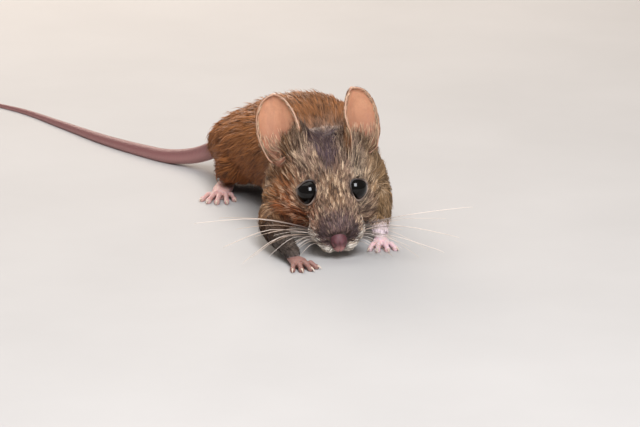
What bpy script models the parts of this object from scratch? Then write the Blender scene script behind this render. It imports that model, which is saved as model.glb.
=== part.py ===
"""A live wood mouse (long-tailed field mouse), crouched with its nose to the ground.

The furry flesh is built as one blended mass from lofts and ellipsoids, then parted with thin cuts into
head, whisker pads, jaw, neck, chest, loins, rump and limbs. Ears, eyes, nose, paws, feet and tail are made on
their own and trimmed to meet that mass, and the longest whiskers grow out of their pads. The surfaces stand
for the tips of the coat.

Everything is worked out in millimetres, with +X on the mouse's left, +Y towards its rump and +Z up, and the
floor at z = 0. The last step scales it to metres and puts the origin under the middle of the whole.
"""

import math

import bmesh
import bpy
from mathutils import Matrix, Vector

# ---- Driving sizes, in millimetres and degrees ------------------------------------------------------------

SIDES = ("left", "right")
GAP = 0.3  # clear space that parted pieces keep
EYE_LEVEL = 12.0  # height of the point midway between the eyes, the head's own origin
HEAD_PITCH, HEAD_YAW, HEAD_ROLL = 23.0, 7.0, 4.4  # nose down, nose to the left, left cheek up
SNOUT = 12.2  # eyes to nose tip, along the head
SNOUT_DROP = 2.4  # the snout's axis lies this far under the eyes

NOSE_RADII = (1.6, 2.1, 1.9)  # half width, half depth and half height of the bare pad
NOSE_DROP = 3.5  # its middle lies this far under the eyes

EYE_RADIUS = 2.4
EYE_SPREAD = 4.4  # each eye's centre from the head's middle

# Masses laid on the skull, each a middle and radii in the head's frame. All but the chin come in pairs.
CHEEK = ((4.9, 4.6, -5.6), (4.9, 6.4, 5.2))
MUZZLE_SIDE = ((2.8, -7.0, -3.9), (3.0, 3.8, 2.9))
BROW = ((5.6, 8.8, 3.2), (3.2, 3.0, 3.2))
CHIN = ((0.0, -4.6, -6.9), (3.0, 6.0, 2.0))

# The left whisker pad in the head's frame, its radii, and how high on it the long whiskers stand, top first.
WHISKER_PAD, WHISKER_PAD_RADII = (4.3, -7.4, -4.3), (1.9, 2.5, 2.2)
WHISKER_ROOTS = (-3.3, -4.3, -5.3)
WHISKER_RADII = (0.34, 0.25)  # at root and tip
# Each long whisker's middle and tip, top to bottom, in the body's frame.
WHISKERS = {
    "left": (
        ((14.0, -8.6, 9.3), (25.2, -6.0, 10.1)),
        ((13.4, -9.6, 7.4), (22.8, -8.0, 5.1)),
        ((11.6, -11.0, 5.9), (20.0, -10.0, 2.9)),
    ),
    "right": (
        ((-14.0, -9.6, 8.8), (-24.6, -8.0, 7.7)),
        ((-11.8, -10.8, 7.0), (-19.5, -10.0, 3.9)),
        ((-10.0, -11.8, 5.8), (-16.0, -12.0, 1.6)),
    ),
}

EAR_LENGTH, EAR_WIDTH, EAR_DEPTH, EAR_THICK = 13.3, 8.5, 3.0, 0.6
EAR_ROOT_SHARE = 0.66  # width at the root as a share of the greatest width
EAR_WIDEST = 0.52  # share of the length at which the ear is widest
EAR_ROLLED = 0.8  # share of the length along which the front edge is rolled over
EAR_TIP_ARCS = (56.0, 64.0)  # degrees of curl before and behind the middle at the tip
EAR_ROOT_ARC = 95.0  # degrees of curl behind the middle at the root
EAR_ROOT_FORWARD, EAR_TIP_BACK, EAR_ROOT_INWARD = 1.2, 1.0, 0.9  # how far the ear's middle line bends

TAIL_LENGTH = 88.0
TAIL_ROOT_RADIUS, TAIL_TIP_RADIUS = 2.1, 0.45
TAIL_SETTLED = 0.85  # height of its middle over the floor where it lies, as a share of its radius
TAIL_LENGTHS = ("tail_root", "tail_upper", "tail_lower", "tail_tip")

FLESH_VOXEL, FLESH_TRIANGLES = 0.45, 1350
PAW_VOXEL, FOREPAW_TRIANGLES, HINDFOOT_TRIANGLES = 0.22, 200, 250
SOLE_LEVEL = 0.0

# Skull and muzzle from the nose tip back: distance, half width, height above and below the snout's axis.
HEAD_STATIONS = (
    (1.3, 1.4, 0.9, 1.6),
    (2.1, 2.3, 1.7, 2.4),
    (3.6, 3.4, 2.7, 3.3),
    (6.2, 4.4, 3.9, 4.4),
    (9.2, 5.2, 5.2, 5.4),
    (12.2, 6.4, 6.6, 6.4),
    (15.6, 8.2, 7.7, 7.4),
    (19.6, 9.4, 8.2, 8.4),
    (24.0, 9.6, 7.8, 8.8),
    (28.0, 9.0, 7.0, 8.4),
)

# Trunk from the neck to the tail's root: middle (x, y, z), half width, height above and below the middle.
TRUNK_STATIONS = (
    ((0.6, 7.0, 13.0), 7.0, 5.0, 5.5),
    ((0.0, 13.0, 13.4), 9.6, 7.0, 8.4),
    ((-1.4, 20.0, 13.0), 11.2, 10.2, 10.2),
    ((-4.0, 28.5, 12.8), 11.6, 12.0, 11.0),
    ((-8.8, 38.0, 12.2), 11.8, 10.0, 10.6),
    ((-13.4, 46.0, 10.8), 10.8, 8.0, 9.2),
    ((-18.0, 52.4, 8.8), 8.4, 6.4, 7.2),
    ((-21.6, 56.6, 7.4), 5.0, 4.4, 4.6),
    ((-23.0, 58.8, 6.6), 2.0, 2.0, 2.0),
)

# Limb bones as tapered lofts: (x, y, z) and radius at each joint.
ARMS = {
    "left": (
        ((6.0, 17.0, 11.0), 5.2),
        ((9.2, 13.5, 6.8), 3.2),
        ((9.4, 5.2, 3.2), 1.7),
        ((9.4, 3.2, 2.2), 1.3),
    ),
    "right": (
        ((-8.2, 13.0, 10.5), 5.2),
        ((-11.2, 1.0, 5.0), 3.2),
        ((-8.0, -9.0, 2.7), 1.7),
        ((-7.2, -10.8, 2.0), 1.3),
    ),
}
THIGHS = {
    "left": ((-7.4, 48.6, 9.4), (5.0, 9.2, 7.4), 30.0),
    "right": ((-18.2, 42.6, 9.2), (5.0, 9.2, 7.2), 26.0),
}
SHANKS = {
    "left": (((-3.4, 43.6, 6.0), 3.2), ((-7.6, 50.8, 3.8), 2.4), ((-9.6, 53.4, 2.4), 1.6)),
    "right": (((-21.0, 39.0, 6.0), 3.2), ((-21.4, 47.2, 3.8), 2.4), ((-21.0, 50.0, 2.4), 1.6)),
}
# Where each paw meets its limb, and the way its middle toe points, in degrees from straight ahead.
FOREPAWS = {"left": ((9.4, 4.2), 4.0), "right": ((-7.4, -10.2), 26.0)}
HINDFEET = {"left": ((-10.2, 54.2), 42.0), "right": ((-20.8, 51.2), -8.0)}
# The length, width and height of each palm and sole, and its toes: degrees of spread, length and radius.
FOREPAW_PALM, HINDFOOT_SOLE = (3.4, 3.7, 2.1), (13.4, 4.4, 2.5)
FINGERS = ((-34, 2.7, 0.5), (-12, 3.3, 0.54), (11, 3.3, 0.54), (36, 2.8, 0.5))
TOES = ((-30, 3.0, 0.55), (-13, 5.0, 0.6), (0, 5.4, 0.62), (12, 5.0, 0.6), (27, 3.8, 0.55))

# Points along the tail's resting side: down from the rump, then out over the floor in an easy curve.
TAIL_KNOTS = (
    (-20.4, 53.4, 7.0),
    (-24.4, 59.0, 3.8),
    (-29.4, 64.4, 1.2),
    (-36.4, 70.8, 0.0),
    (-47.6, 83.6, 0.0),
    (-58.6, 99.4, 0.0),
    (-68.4, 113.4, 0.0),
    (-79.4, 124.4, 0.0),
)

# Where the flesh is parted. Each limb's cut is an ellipsoid: its radii, and how far its middle is set off.
FOREARM_CUT, FOREARM_CUT_SHIFT = (3.6, 3.4), (0.0, -1.0, -0.4)
FOREARM_CUT_SHARE, FOREARM_CUT_REACH = 0.62, 0.74  # its middle and half length along the forearm
UPPER_ARM_CUT, UPPER_ARM_CUT_SHIFT = (5.0, 5.6), (1.0, 0.0, -0.8)
UPPER_ARM_CUT_SHARE, UPPER_ARM_CUT_EXTRA = 0.6, 4.4
SHANK_CUT, SHANK_CUT_SHIFT, SHANK_CUT_SHARE = (3.8, 4.6, 3.0), (0.0, 0.4, -0.8), 0.4
THIGH_CUT_EXTRA, THIGH_CUT_SHIFT = (1.4, 0.9, 0.6), (3.2, -0.6, -1.2)
JAW_CUT, JAW_CUT_RADII, JAW_CUT_PITCH = (0.0, -4.4, -9.2), (3.7, 6.6, 3.4), -6.0  # in the head's frame
# Across the trunk, from the tail end forward: a point on the cut and the way towards the rump.
TRUNK_CUTS = (
    ("rump", (-12.6, 43.4, 12.0), (-0.50, 0.86, -0.05)),
    ("loins", (-6.8, 32.6, 12.0), (-0.42, 0.90, 0.0)),
    ("chest", (-0.8, 17.0, 12.0), (-0.12, 0.97, 0.22)),
)
NECK_CUT = 11.6  # behind the eyes, along the head

# The ears' roots in the head's frame, how far each leans out, leans back and turns its hollow outward, and
# the degrees of curl before its middle at the root.
EARS = {
    "left": ((5.5, 9.0, 1.6), 3.0, 16.0, 38.0, 168.0),
    "right": ((-7.6, 9.0, 1.6), 9.0, 18.0, 16.0, 112.0),
}
# The furred cone at the foot of each ear, from root to tip, in the head's frame.
EAR_CONES = {
    "left": (((3.8, 9.8, 4.4), 2.7), ((4.5, 10.2, 8.0), 1.9), ((4.8, 10.4, 11.6), 0.9)),
    "right": (((-4.0, 9.8, 4.4), 2.6), ((-5.0, 10.2, 7.6), 1.7), ((-5.6, 10.6, 10.0), 0.9)),
}

COLOURS = {
    "coat": ((0.24, 0.13, 0.06), 0.8),
    "pale_coat": ((0.70, 0.62, 0.54), 0.8),
    "bare_skin": ((0.62, 0.34, 0.30), 0.55),
    "ear_skin": ((0.50, 0.27, 0.18), 0.6),
    "tail_skin": ((0.26, 0.15, 0.14), 0.6),
    "eye": ((0.01, 0.01, 0.012), 0.08),
}


# ---- Shaping tools ---------------------------------------------------------------------------------------


def clear_scene():
    for obj in list(bpy.data.objects):
        bpy.data.objects.remove(obj, do_unlink=True)


def turned(pitch=0.0, roll=0.0, yaw=0.0):
    """A rotation: roll about the long axis first, then pitch, then yaw."""
    return (
        Matrix.Rotation(math.radians(yaw), 4, "Z")
        @ Matrix.Rotation(math.radians(pitch), 4, "X")
        @ Matrix.Rotation(math.radians(roll), 4, "Y")
    )


HEAD = Matrix.Translation((0, 0, EYE_LEVEL)) @ turned(HEAD_PITCH, -HEAD_ROLL, HEAD_YAW)


def between(a, b, share):
    return a + (b - a) * share


def catmull_rom(before, start, end, after, t):
    """The smooth value a share t of the way from start to end, given the values on either side."""
    return 0.5 * (
        2 * start
        + (end - before) * t
        + (2 * before - 5 * start + 4 * end - after) * t * t
        + (3 * start - before - 3 * end + after) * t * t * t
    )


def smoothed(stations, steps):
    """Stations, each a tuple of a Vector and numbers, with steps - 1 smooth ones put between each pair."""
    padded = [stations[0], *stations, stations[-1]]
    found = []
    for i in range(1, len(padded) - 2):
        for step in range(steps):
            quad = zip(*padded[i - 1 : i + 3])
            found.append(tuple(catmull_rom(*values, step / steps) for values in quad))
    return [*found, stations[-1]]


def bridged(bm, rings):
    """Joins rings of vertices into one closed skin, with a fan of faces over each end."""
    sides = len(rings[0])
    for ring, following in zip(rings, rings[1:]):
        for i in range(sides):
            j = (i + 1) % sides
            bm.faces.new((ring[i], ring[j], following[j], following[i]))
    for ring in (rings[0], rings[-1]):
        bm.faces.new(ring)
    bmesh.ops.recalc_face_normals(bm, faces=bm.faces)


def loft(bm, stations, sides=20, steps=4, up=Vector((0, 0, 1))):
    """A tube through stations of (middle, half width, height above, height below), egg-shaped across."""
    stations = smoothed([(Vector(s[0]), *map(float, s[1:])) for s in stations], steps)
    rings = []
    for i, (middle, half_width, above, below) in enumerate(stations):
        ahead = stations[min(i + 1, len(stations) - 1)][0] - stations[max(i - 1, 0)][0]
        side = ahead.cross(up).normalized()
        over = side.cross(ahead).normalized()
        circle = bmesh.ops.create_circle(bm, segments=sides, radius=1.0)["verts"]
        for vert in circle:
            height = above if vert.co.y > 0 else below
            vert.co = middle + side * (vert.co.x * half_width) + over * (vert.co.y * height)
        rings.append(circle)
    bridged(bm, rings)


def limb(bm, joints, sides=14, steps=4):
    """A round tapered tube through joints of (place, radius), with domed ends."""
    start, end = Vector(joints[0][0]), Vector(joints[-1][0])
    up = Vector((1, 0, 0)) if abs((end - start).normalized().x) < 0.7 else Vector((0, 0, 1))
    loft(bm, [(place, radius, radius, radius) for place, radius in joints], sides, steps, up)
    for place, radius in (joints[0], joints[-1]):
        mass(bm, place, (radius, radius, radius))


def mass(bm, middle, radii, turn=Matrix.Identity(4), around=16, along=9):
    """An ellipsoid of flesh."""
    place = Matrix.Translation(middle) @ turn @ Matrix.Diagonal((*radii, 1.0))
    bmesh.ops.create_uvsphere(bm, u_segments=around, v_segments=along, radius=1.0, matrix=place)


def mirrored(place, side):
    """A place given for the mouse's left, on that side or across its middle."""
    x, y, z = place
    return Vector((x if side == "left" else -x, y, z))


def object_of(bm, name="helper"):
    mesh = bpy.data.meshes.new(name)
    bm.to_mesh(mesh)
    bm.free()
    obj = bpy.data.objects.new(name, mesh)
    bpy.context.scene.collection.objects.link(obj)
    return obj


def applied(obj):
    """Makes the object's modifiers part of its mesh."""
    graph = bpy.context.evaluated_depsgraph_get()
    mesh = bpy.data.meshes.new_from_object(obj.evaluated_get(graph))
    obj.modifiers.clear()
    obj.data = mesh
    return obj


def blended(obj, voxel, smoothing, triangles):
    """Turns overlapping shapes into one smooth skin of about that many triangles."""
    remesh = obj.modifiers.new("blend", "REMESH")
    remesh.mode = "VOXEL"
    remesh.voxel_size = voxel
    smooth = obj.modifiers.new("soften", "SMOOTH")
    smooth.factor = 0.5
    smooth.iterations = smoothing
    applied(obj)
    bm = bmesh.new()
    bm.from_mesh(obj.data)
    bmesh.ops.triangulate(bm, faces=bm.faces)
    bm.to_mesh(obj.data)
    bm.free()
    decimate = obj.modifiers.new("thin_out", "DECIMATE")
    decimate.ratio = triangles / len(obj.data.polygons)
    return applied(obj)


def grown(obj, distance):
    """A copy of obj with its skin moved out by distance along the vertex normals, hidden from the render."""
    copy = bpy.data.objects.new(obj.name + "_grown", obj.data.copy())
    bpy.context.scene.collection.objects.link(copy)
    bm = bmesh.new()
    bm.from_mesh(copy.data)
    bm.normal_update()
    moves = [(vert, vert.normal * distance) for vert in bm.verts]
    for vert, move in moves:
        vert.co += move
    bm.to_mesh(copy.data)
    bm.free()
    return copy


def boolean(obj, cutter, operation):
    """Applies an exact Boolean to obj. The cutter is kept."""
    modifier = obj.modifiers.new(operation.lower(), "BOOLEAN")
    modifier.operation = operation
    modifier.object = cutter
    modifier.solver = "EXACT"
    return applied(obj)


def largest_body(obj):
    """Drops the crumbs that a Boolean can leave, so that the object is one closed body."""
    bm = bmesh.new()
    bm.from_mesh(obj.data)
    bmesh.ops.remove_doubles(bm, verts=bm.verts, dist=0.002)
    bm.faces.ensure_lookup_table()
    unseen, bodies = set(bm.faces), []
    while unseen:
        todo, body = [unseen.pop()], []
        while todo:
            face = todo.pop()
            body.append(face)
            near = {other for edge in face.edges for other in edge.link_faces} & unseen
            unseen -= near
            todo.extend(near)
        bodies.append(body)
    bodies.sort(key=len)
    bmesh.ops.delete(bm, geom=[face for body in bodies[:-1] for face in body], context="FACES")
    bmesh.ops.triangulate(bm, faces=bm.faces)
    bm.to_mesh(obj.data)
    bm.free()
    return obj


def parted(whole, cutter, name):
    """Takes what lies inside the cutter out of whole as its own piece, leaving a thin gap between them."""
    piece = bpy.data.objects.new(name, whole.data.copy())
    bpy.context.scene.collection.objects.link(piece)
    for obj, margin, operation in ((piece, 0.0, "INTERSECT"), (whole, GAP, "DIFFERENCE")):
        helper = cutter(margin)
        boolean(obj, helper, operation)
        bpy.data.objects.remove(helper, do_unlink=True)
        largest_body(obj)
    return piece


def ellipsoid_cutter(middle, radii, turn=Matrix.Identity(4)):
    """Makes ellipsoids about one middle, each a margin larger than the radii."""

    def cutter(margin):
        bm = bmesh.new()
        mass(bm, middle, [radius + margin for radius in radii], turn, around=12, along=7)
        return object_of(bm, "cutter")

    return cutter


def slab_cutter(point, normal):
    """Makes blocks that fill the space beyond a plane, for parting the trunk across."""
    size = 2 * TAIL_LENGTH

    def cutter(margin):
        bm = bmesh.new()
        turn = Vector(normal).to_track_quat("Z", "Y").to_matrix().to_4x4()
        place = Matrix.Translation(point) @ turn @ Matrix.Translation((0, 0, size / 2 - margin))
        bmesh.ops.create_cube(bm, size=size, matrix=place)
        return object_of(bm, "cutter")

    return cutter


def flat_soled(obj):
    """Cuts the object off at the floor, which gives it a small flat to stand on."""
    bm = bmesh.new()
    bm.from_mesh(obj.data)
    whole = bm.verts[:] + bm.edges[:] + bm.faces[:]
    floor = {"plane_co": (0, 0, SOLE_LEVEL), "plane_no": (0, 0, -1)}
    cut = bmesh.ops.bisect_plane(bm, geom=whole, dist=0.001, clear_outer=True, **floor)
    rim = [e for e in cut["geom_cut"] if isinstance(e, bmesh.types.BMEdge)]
    bmesh.ops.holes_fill(bm, edges=rim, sides=0)
    bmesh.ops.triangulate(bm, faces=bm.faces)
    bmesh.ops.recalc_face_normals(bm, faces=bm.faces)
    bm.to_mesh(obj.data)
    bm.free()
    return obj


# ---- The mouse's masses ----------------------------------------------------------------------------------


def head_masses(bm):
    """Skull and muzzle as a loft, with cheeks, whisker pads, brows and lower jaw laid on it."""
    own = bmesh.new()
    loft(own, [((0, back - SNOUT, -SNOUT_DROP), *sizes) for back, *sizes in HEAD_STATIONS])
    for side in SIDES:
        for middle, radii in (CHEEK, MUZZLE_SIDE, BROW):
            mass(own, mirrored(middle, side), radii)
        limb(own, EAR_CONES[side])
    mass(own, *CHIN)
    for vert in own.verts:
        vert.co = HEAD @ vert.co
    scratch = bpy.data.meshes.new("head_masses")
    own.to_mesh(scratch)
    own.free()
    bm.from_mesh(scratch)


def flesh():
    """All that wears the coat, from the muzzle to the tail's root and down to the wrists and heels."""
    bm = bmesh.new()
    head_masses(bm)
    loft(bm, TRUNK_STATIONS, sides=28)
    for side in SIDES:
        limb(bm, ARMS[side])
        limb(bm, SHANKS[side])
        middle, radii, yaw = THIGHS[side]
        mass(bm, middle, radii, turned(yaw=yaw))
    return blended(object_of(bm, "flesh"), FLESH_VOXEL, 5, FLESH_TRIANGLES)


def paw(bm, toes, palm):
    """A paw that points along -Y from its wrist at the origin: toes are (spread, length, radius)."""
    long, wide, high = palm
    stations = [((0, 0.6, 1.25), wide * 0.3, 1.2, 1.2)]
    for along, level, width, above, below in (
        (0.25, 0.55, 0.40, 0.50, 0.60),
        (0.70, 0.50, 0.50, 0.50, 0.55),
        (1.00, 0.42, 0.44, 0.38, 0.50),
    ):
        stations.append(((0, -long * along, high * level), wide * width, high * above, high * below))
    loft(bm, stations, sides=14, steps=3)
    for i, (spread, length, radius) in enumerate(toes):
        across = (i / (len(toes) - 1) - 0.5) * wide * 0.72
        angle = math.radians(spread)
        ahead = Vector((math.sin(angle), -math.cos(angle), 0))
        root = Vector((across, -long * 0.86, radius * 1.15))
        knuckle = root + ahead * length * 0.45 + Vector((0, 0, radius * 0.75))
        tip = root + ahead * length
        tip.z = radius * 0.8
        claw = tip + ahead * radius * 1.9
        claw.z = radius * 0.55
        joints = ((root, radius), (knuckle, radius * 0.92), (tip, radius * 1.05))
        limb(bm, joints, sides=8, steps=2)
        limb(bm, ((tip, radius * 0.62), (claw, radius * 0.34)), sides=8, steps=2)


def forepaw(side):
    """Four spread fingers on a short palm."""
    bm = bmesh.new()
    paw(bm, FINGERS, FOREPAW_PALM)
    return placed_paw(bm, FOREPAWS[side], "forepaw_" + side, FOREPAW_TRIANGLES)


def hindfoot(side):
    """A long narrow foot, flat from heel to toes, with three long middle toes and a short one each side."""
    bm = bmesh.new()
    outward = 1 if side == "left" else -1
    toes = [(spread * outward, length, radius) for spread, length, radius in TOES][::outward]
    paw(bm, toes, HINDFOOT_SOLE)
    return placed_paw(bm, HINDFEET[side], "hindfoot_" + side, HINDFOOT_TRIANGLES)


def placed_paw(bm, stand, name, triangles):
    """Sets the paw down at its wrist or heel, blends it and gives it flat soles."""
    (x, y), heading = stand
    bmesh.ops.transform(bm, matrix=Matrix.Translation((x, y, 0)) @ turned(yaw=heading), verts=bm.verts)
    obj = blended(object_of(bm, name), PAW_VOXEL, 2, triangles)
    return flat_soled(obj)


def ear_section(share, root_roll):
    """The ear's half width, depth of hollow and arcs before and behind its middle at a share of its length."""
    if share > EAR_WIDEST:
        above = (share - EAR_WIDEST) / (1 - EAR_WIDEST)
        wide = max(0.0, 1 - above**2.4) ** (1 / 2.2)
    else:
        wide = between(EAR_ROOT_SHARE, 1.0, math.sin(share / EAR_WIDEST * math.pi / 2))
    before = between(root_roll, EAR_TIP_ARCS[0], min(1.0, share / EAR_ROLLED))
    behind = between(EAR_ROOT_ARC, EAR_TIP_ARCS[1], share)
    return EAR_WIDTH / 2 * wide, EAR_DEPTH * (1 + wide) / 2, math.radians(before), math.radians(behind)


def ear(side):
    """A thin round cup whose front edge is rolled over like a funnel's, lower down more than at the tip."""
    root, lean_out, lean_back, turn, root_roll = EARS[side]
    outward = 1 if side == "left" else -1
    bm = bmesh.new()
    for vert in bmesh.ops.create_grid(bm, x_segments=9, y_segments=9, size=1.0)["verts"]:
        share = math.sin((vert.co.y + 1) / 2 * math.pi / 2) ** 1.15
        half, depth, before, behind = ear_section(share, root_roll)
        angle = vert.co.x * (behind if vert.co.x > 0 else before)
        near_root = (1 - share) ** 2
        forward = depth * (1 - math.cos(angle)) + EAR_ROOT_FORWARD * near_root - EAR_TIP_BACK * share**2
        across = half * math.sin(angle) - EAR_ROOT_INWARD * near_root
        vert.co = Vector((outward * across, -forward, share * EAR_LENGTH))
    bmesh.ops.remove_doubles(bm, verts=bm.verts, dist=0.01)
    obj = object_of(bm, "ear_" + side)
    wall = obj.modifiers.new("wall", "SOLIDIFY")
    wall.thickness = EAR_THICK
    wall.offset = 0.0
    applied(obj)
    facing = turned(yaw=turn * outward)
    lean = turned(pitch=-lean_back, roll=lean_out * outward)
    obj.data.transform(HEAD @ Matrix.Translation(root) @ lean @ facing)
    bm = bmesh.new()
    bm.from_mesh(obj.data)
    bmesh.ops.triangulate(bm, faces=bm.faces)
    bmesh.ops.recalc_face_normals(bm, faces=bm.faces)
    bm.to_mesh(obj.data)
    bm.free()
    return obj


def nose():
    """The bare nose pad, wider above than below."""
    bm = bmesh.new()
    mass(bm, (0, 0, 0), NOSE_RADII)
    for vert in bm.verts:
        vert.co.x *= between(0.8, 1.08, (vert.co.z / NOSE_RADII[2] + 1) / 2)
        vert.co = HEAD @ (vert.co + Vector((0, NOSE_RADII[1] - SNOUT, -NOSE_DROP)))
    return object_of(bm, "nose")


def eye(side):
    bm = bmesh.new()
    middle = HEAD @ mirrored((EYE_SPREAD, 0, 0), side)
    place = Matrix.Translation(middle) @ HEAD.to_3x3().to_4x4() @ turned(yaw=90)
    bmesh.ops.create_uvsphere(bm, u_segments=14, v_segments=8, radius=EYE_RADIUS, matrix=place)
    return object_of(bm, "eye_" + side)


def tail_path():
    """A smooth run of points through the tail's knots, none under the floor."""
    points = [point for (point,) in smoothed([(Vector(knot),) for knot in TAIL_KNOTS], 8)]
    for point in points:
        point.z = max(point.z, 0.0)
    return points


def tail():
    """The tail in several lengths, each a tapered tube on the one path with a flat underside."""
    path = tail_path()
    runs = [0.0]
    for a, b in zip(path, path[1:]):
        runs.append(runs[-1] + (b - a).length)

    def at(run):
        for i in range(1, len(path)):
            if runs[i] >= run:
                return path[i - 1].lerp(path[i], (run - runs[i - 1]) / (runs[i] - runs[i - 1]))
        return path[-1]

    share = TAIL_LENGTH / len(TAIL_LENGTHS)
    pieces = []
    for i, name in enumerate(TAIL_LENGTHS):
        start = i * share + (GAP / 2 if i else 0)
        end = (i + 1) * share - (GAP / 2 if i + 1 < len(TAIL_LENGTHS) else 0)
        rings = 6
        stations = []
        for step in range(rings + 1):
            run = between(start, end, step / rings)
            radius = between(TAIL_ROOT_RADIUS, TAIL_TIP_RADIUS, (run / TAIL_LENGTH) ** 0.75)
            middle = at(run) + Vector((0, 0, radius * TAIL_SETTLED))
            stations.append((middle, radius, radius, radius))
        bm = bmesh.new()
        loft(bm, stations, sides=8, steps=1)
        pieces.append(flat_soled(object_of(bm, name)))
    return pieces


# ---- Parting the flesh and finishing ---------------------------------------------------------------------


def limb_pieces(whole):
    """Takes the arms and legs off the flesh, each in the lengths between its joints."""
    pieces = []
    for side in SIDES:
        shoulder, elbow, wrist = (Vector(place) for place, _ in ARMS[side][:3])
        middle = elbow.lerp(wrist, FOREARM_CUT_SHARE) + Vector(FOREARM_CUT_SHIFT)
        half = (wrist - elbow).length * FOREARM_CUT_REACH
        lie = (elbow - wrist).to_track_quat("Y", "Z").to_matrix().to_4x4()
        cutter = ellipsoid_cutter(middle, (FOREARM_CUT[0], half, FOREARM_CUT[1]), lie)
        pieces.append(parted(whole, cutter, "forearm_" + side))
        middle = shoulder.lerp(elbow, UPPER_ARM_CUT_SHARE) + mirrored(UPPER_ARM_CUT_SHIFT, side)
        half = (elbow - shoulder).length / 2 + UPPER_ARM_CUT_EXTRA
        lie = (shoulder - elbow).to_track_quat("Y", "Z").to_matrix().to_4x4()
        cutter = ellipsoid_cutter(middle, (UPPER_ARM_CUT[0], half, UPPER_ARM_CUT[1]), lie)
        pieces.append(parted(whole, cutter, "upper_arm_" + side))
        ankle, heel = (Vector(place) for place, _ in SHANKS[side][1:])
        middle = ankle.lerp(heel, SHANK_CUT_SHARE) + Vector(SHANK_CUT_SHIFT)
        pieces.append(parted(whole, ellipsoid_cutter(middle, SHANK_CUT), "shank_" + side))
        hip, radii, yaw = THIGHS[side]
        middle = Vector(hip) + turned(yaw=yaw) @ mirrored(THIGH_CUT_SHIFT, side)
        wide = [radius + extra for radius, extra in zip(radii, THIGH_CUT_EXTRA)]
        pieces.append(parted(whole, ellipsoid_cutter(middle, wide, turned(yaw=yaw)), "thigh_" + side))
    return pieces


def whisker_pad(whole, side):
    """Takes a whisker pad off the snout, and lets its longest whiskers grow out of it."""
    place = HEAD @ mirrored(WHISKER_PAD, side)
    cutter = ellipsoid_cutter(place, WHISKER_PAD_RADII, HEAD.to_3x3().to_4x4())
    pad = parted(whole, cutter, "whisker_pad_" + side)
    for height, (middle, tip) in zip(WHISKER_ROOTS, WHISKERS[side]):
        root = HEAD @ mirrored((WHISKER_PAD[0], WHISKER_PAD[1], height), side)
        joints = zip((root, middle, tip), (WHISKER_RADII[0], sum(WHISKER_RADII) / 2, WHISKER_RADII[1]))
        bm = bmesh.new()
        loft(bm, [(point, radius, radius, radius) for point, radius in joints], sides=5, steps=2)
        whisker = object_of(bm)
        boolean(pad, whisker, "UNION")
        bpy.data.objects.remove(whisker, do_unlink=True)
    return largest_body(pad)


def jaw_piece(whole):
    """Takes off the lower jaw."""
    lie = HEAD.to_3x3().to_4x4() @ turned(pitch=JAW_CUT_PITCH)
    return parted(whole, ellipsoid_cutter(HEAD @ Vector(JAW_CUT), JAW_CUT_RADII, lie), "jaw")


def across_body(whole):
    """Parts the trunk across into head, neck, chest, loins and rump, from the tail end forward."""
    pieces = []
    neck_cut = ("neck", HEAD @ Vector((0, NECK_CUT, 0)), HEAD.to_3x3() @ Vector((0, 1, 0)))
    for name, point, normal in (*TRUNK_CUTS, neck_cut):
        pieces.append(parted(whole, slab_cutter(point, normal), name))
    whole.name = "head"
    return [whole, *pieces]


def finish(pieces, metres=0.001):
    """Scales the pieces to metres, centres them over the origin, and gives each its material."""
    low = Vector([min(v.co[axis] for o in pieces for v in o.data.vertices) for axis in range(3)])
    high = Vector([max(v.co[axis] for o in pieces for v in o.data.vertices) for axis in range(3)])
    middle = (low + high) / 2
    middle.z = low.z
    for obj in pieces:
        obj.data.transform(Matrix.Scale(metres, 4) @ Matrix.Translation(-middle))
        obj.data.name = obj.name
        obj.data.materials.clear()
        obj.data.materials.append(material(finish_of(obj.name)))
        obj.data.shade_smooth()


def finish_of(name):
    if name.startswith(("forepaw", "hindfoot", "nose")):
        return "bare_skin"
    for start, finish_name in (("ear", "ear_skin"), ("eye", "eye"), ("tail", "tail_skin")):
        if name.startswith(start):
            return finish_name
    return "pale_coat" if name == "jaw" else "coat"


def material(name):
    """The Principled material of that finish, made once."""
    if name in bpy.data.materials:
        return bpy.data.materials[name]
    made = bpy.data.materials.new(name)
    made.use_nodes = True
    colour, roughness = COLOURS[name]
    shader = made.node_tree.nodes["Principled BSDF"]
    shader.inputs["Base Color"].default_value = (*colour, 1.0)
    shader.inputs["Roughness"].default_value = roughness
    return made


def main():
    clear_scene()
    whole = flesh()
    skin_and_gap = grown(whole, GAP)
    trimmed = [make(side) for make in (ear, forepaw, hindfoot) for side in SIDES] + [nose()]
    tail_pieces = tail()
    for obj in [*trimmed, tail_pieces[0]]:
        largest_body(boolean(obj, skin_and_gap, "DIFFERENCE"))
    bpy.data.objects.remove(skin_and_gap, do_unlink=True)
    eyes = [eye(side) for side in SIDES]
    for ball in eyes:
        socket = grown(ball, GAP)
        boolean(whole, socket, "DIFFERENCE")
        bpy.data.objects.remove(socket, do_unlink=True)
    pads = [whisker_pad(whole, side) for side in SIDES]
    pieces = limb_pieces(whole) + [jaw_piece(whole)] + across_body(whole) + pads
    finish(pieces + trimmed + tail_pieces + eyes)


main()
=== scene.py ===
"""The looks of a life-size wood mouse: skin, coat, eyes, ears, nose, paws, tail and whiskers, with its floor,
lights and camera.

Everything is shaped in millimetres in the body's frame: +X is the mouse's left, +Y runs back to the rump,
+Z is up, and the origin is on the floor under the point midway between the eyes. The head has a frame of its
own, turned with the head, with its origin midway between the eyes. finished() moves a piece to the model's
frame, in metres.
"""

import math

import bmesh
import bpy
import numpy as np
from mathutils import Matrix, Vector
from mathutils.bvhtree import BVHTree
from mathutils.kdtree import KDTree
from mathutils.noise import noise


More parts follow.
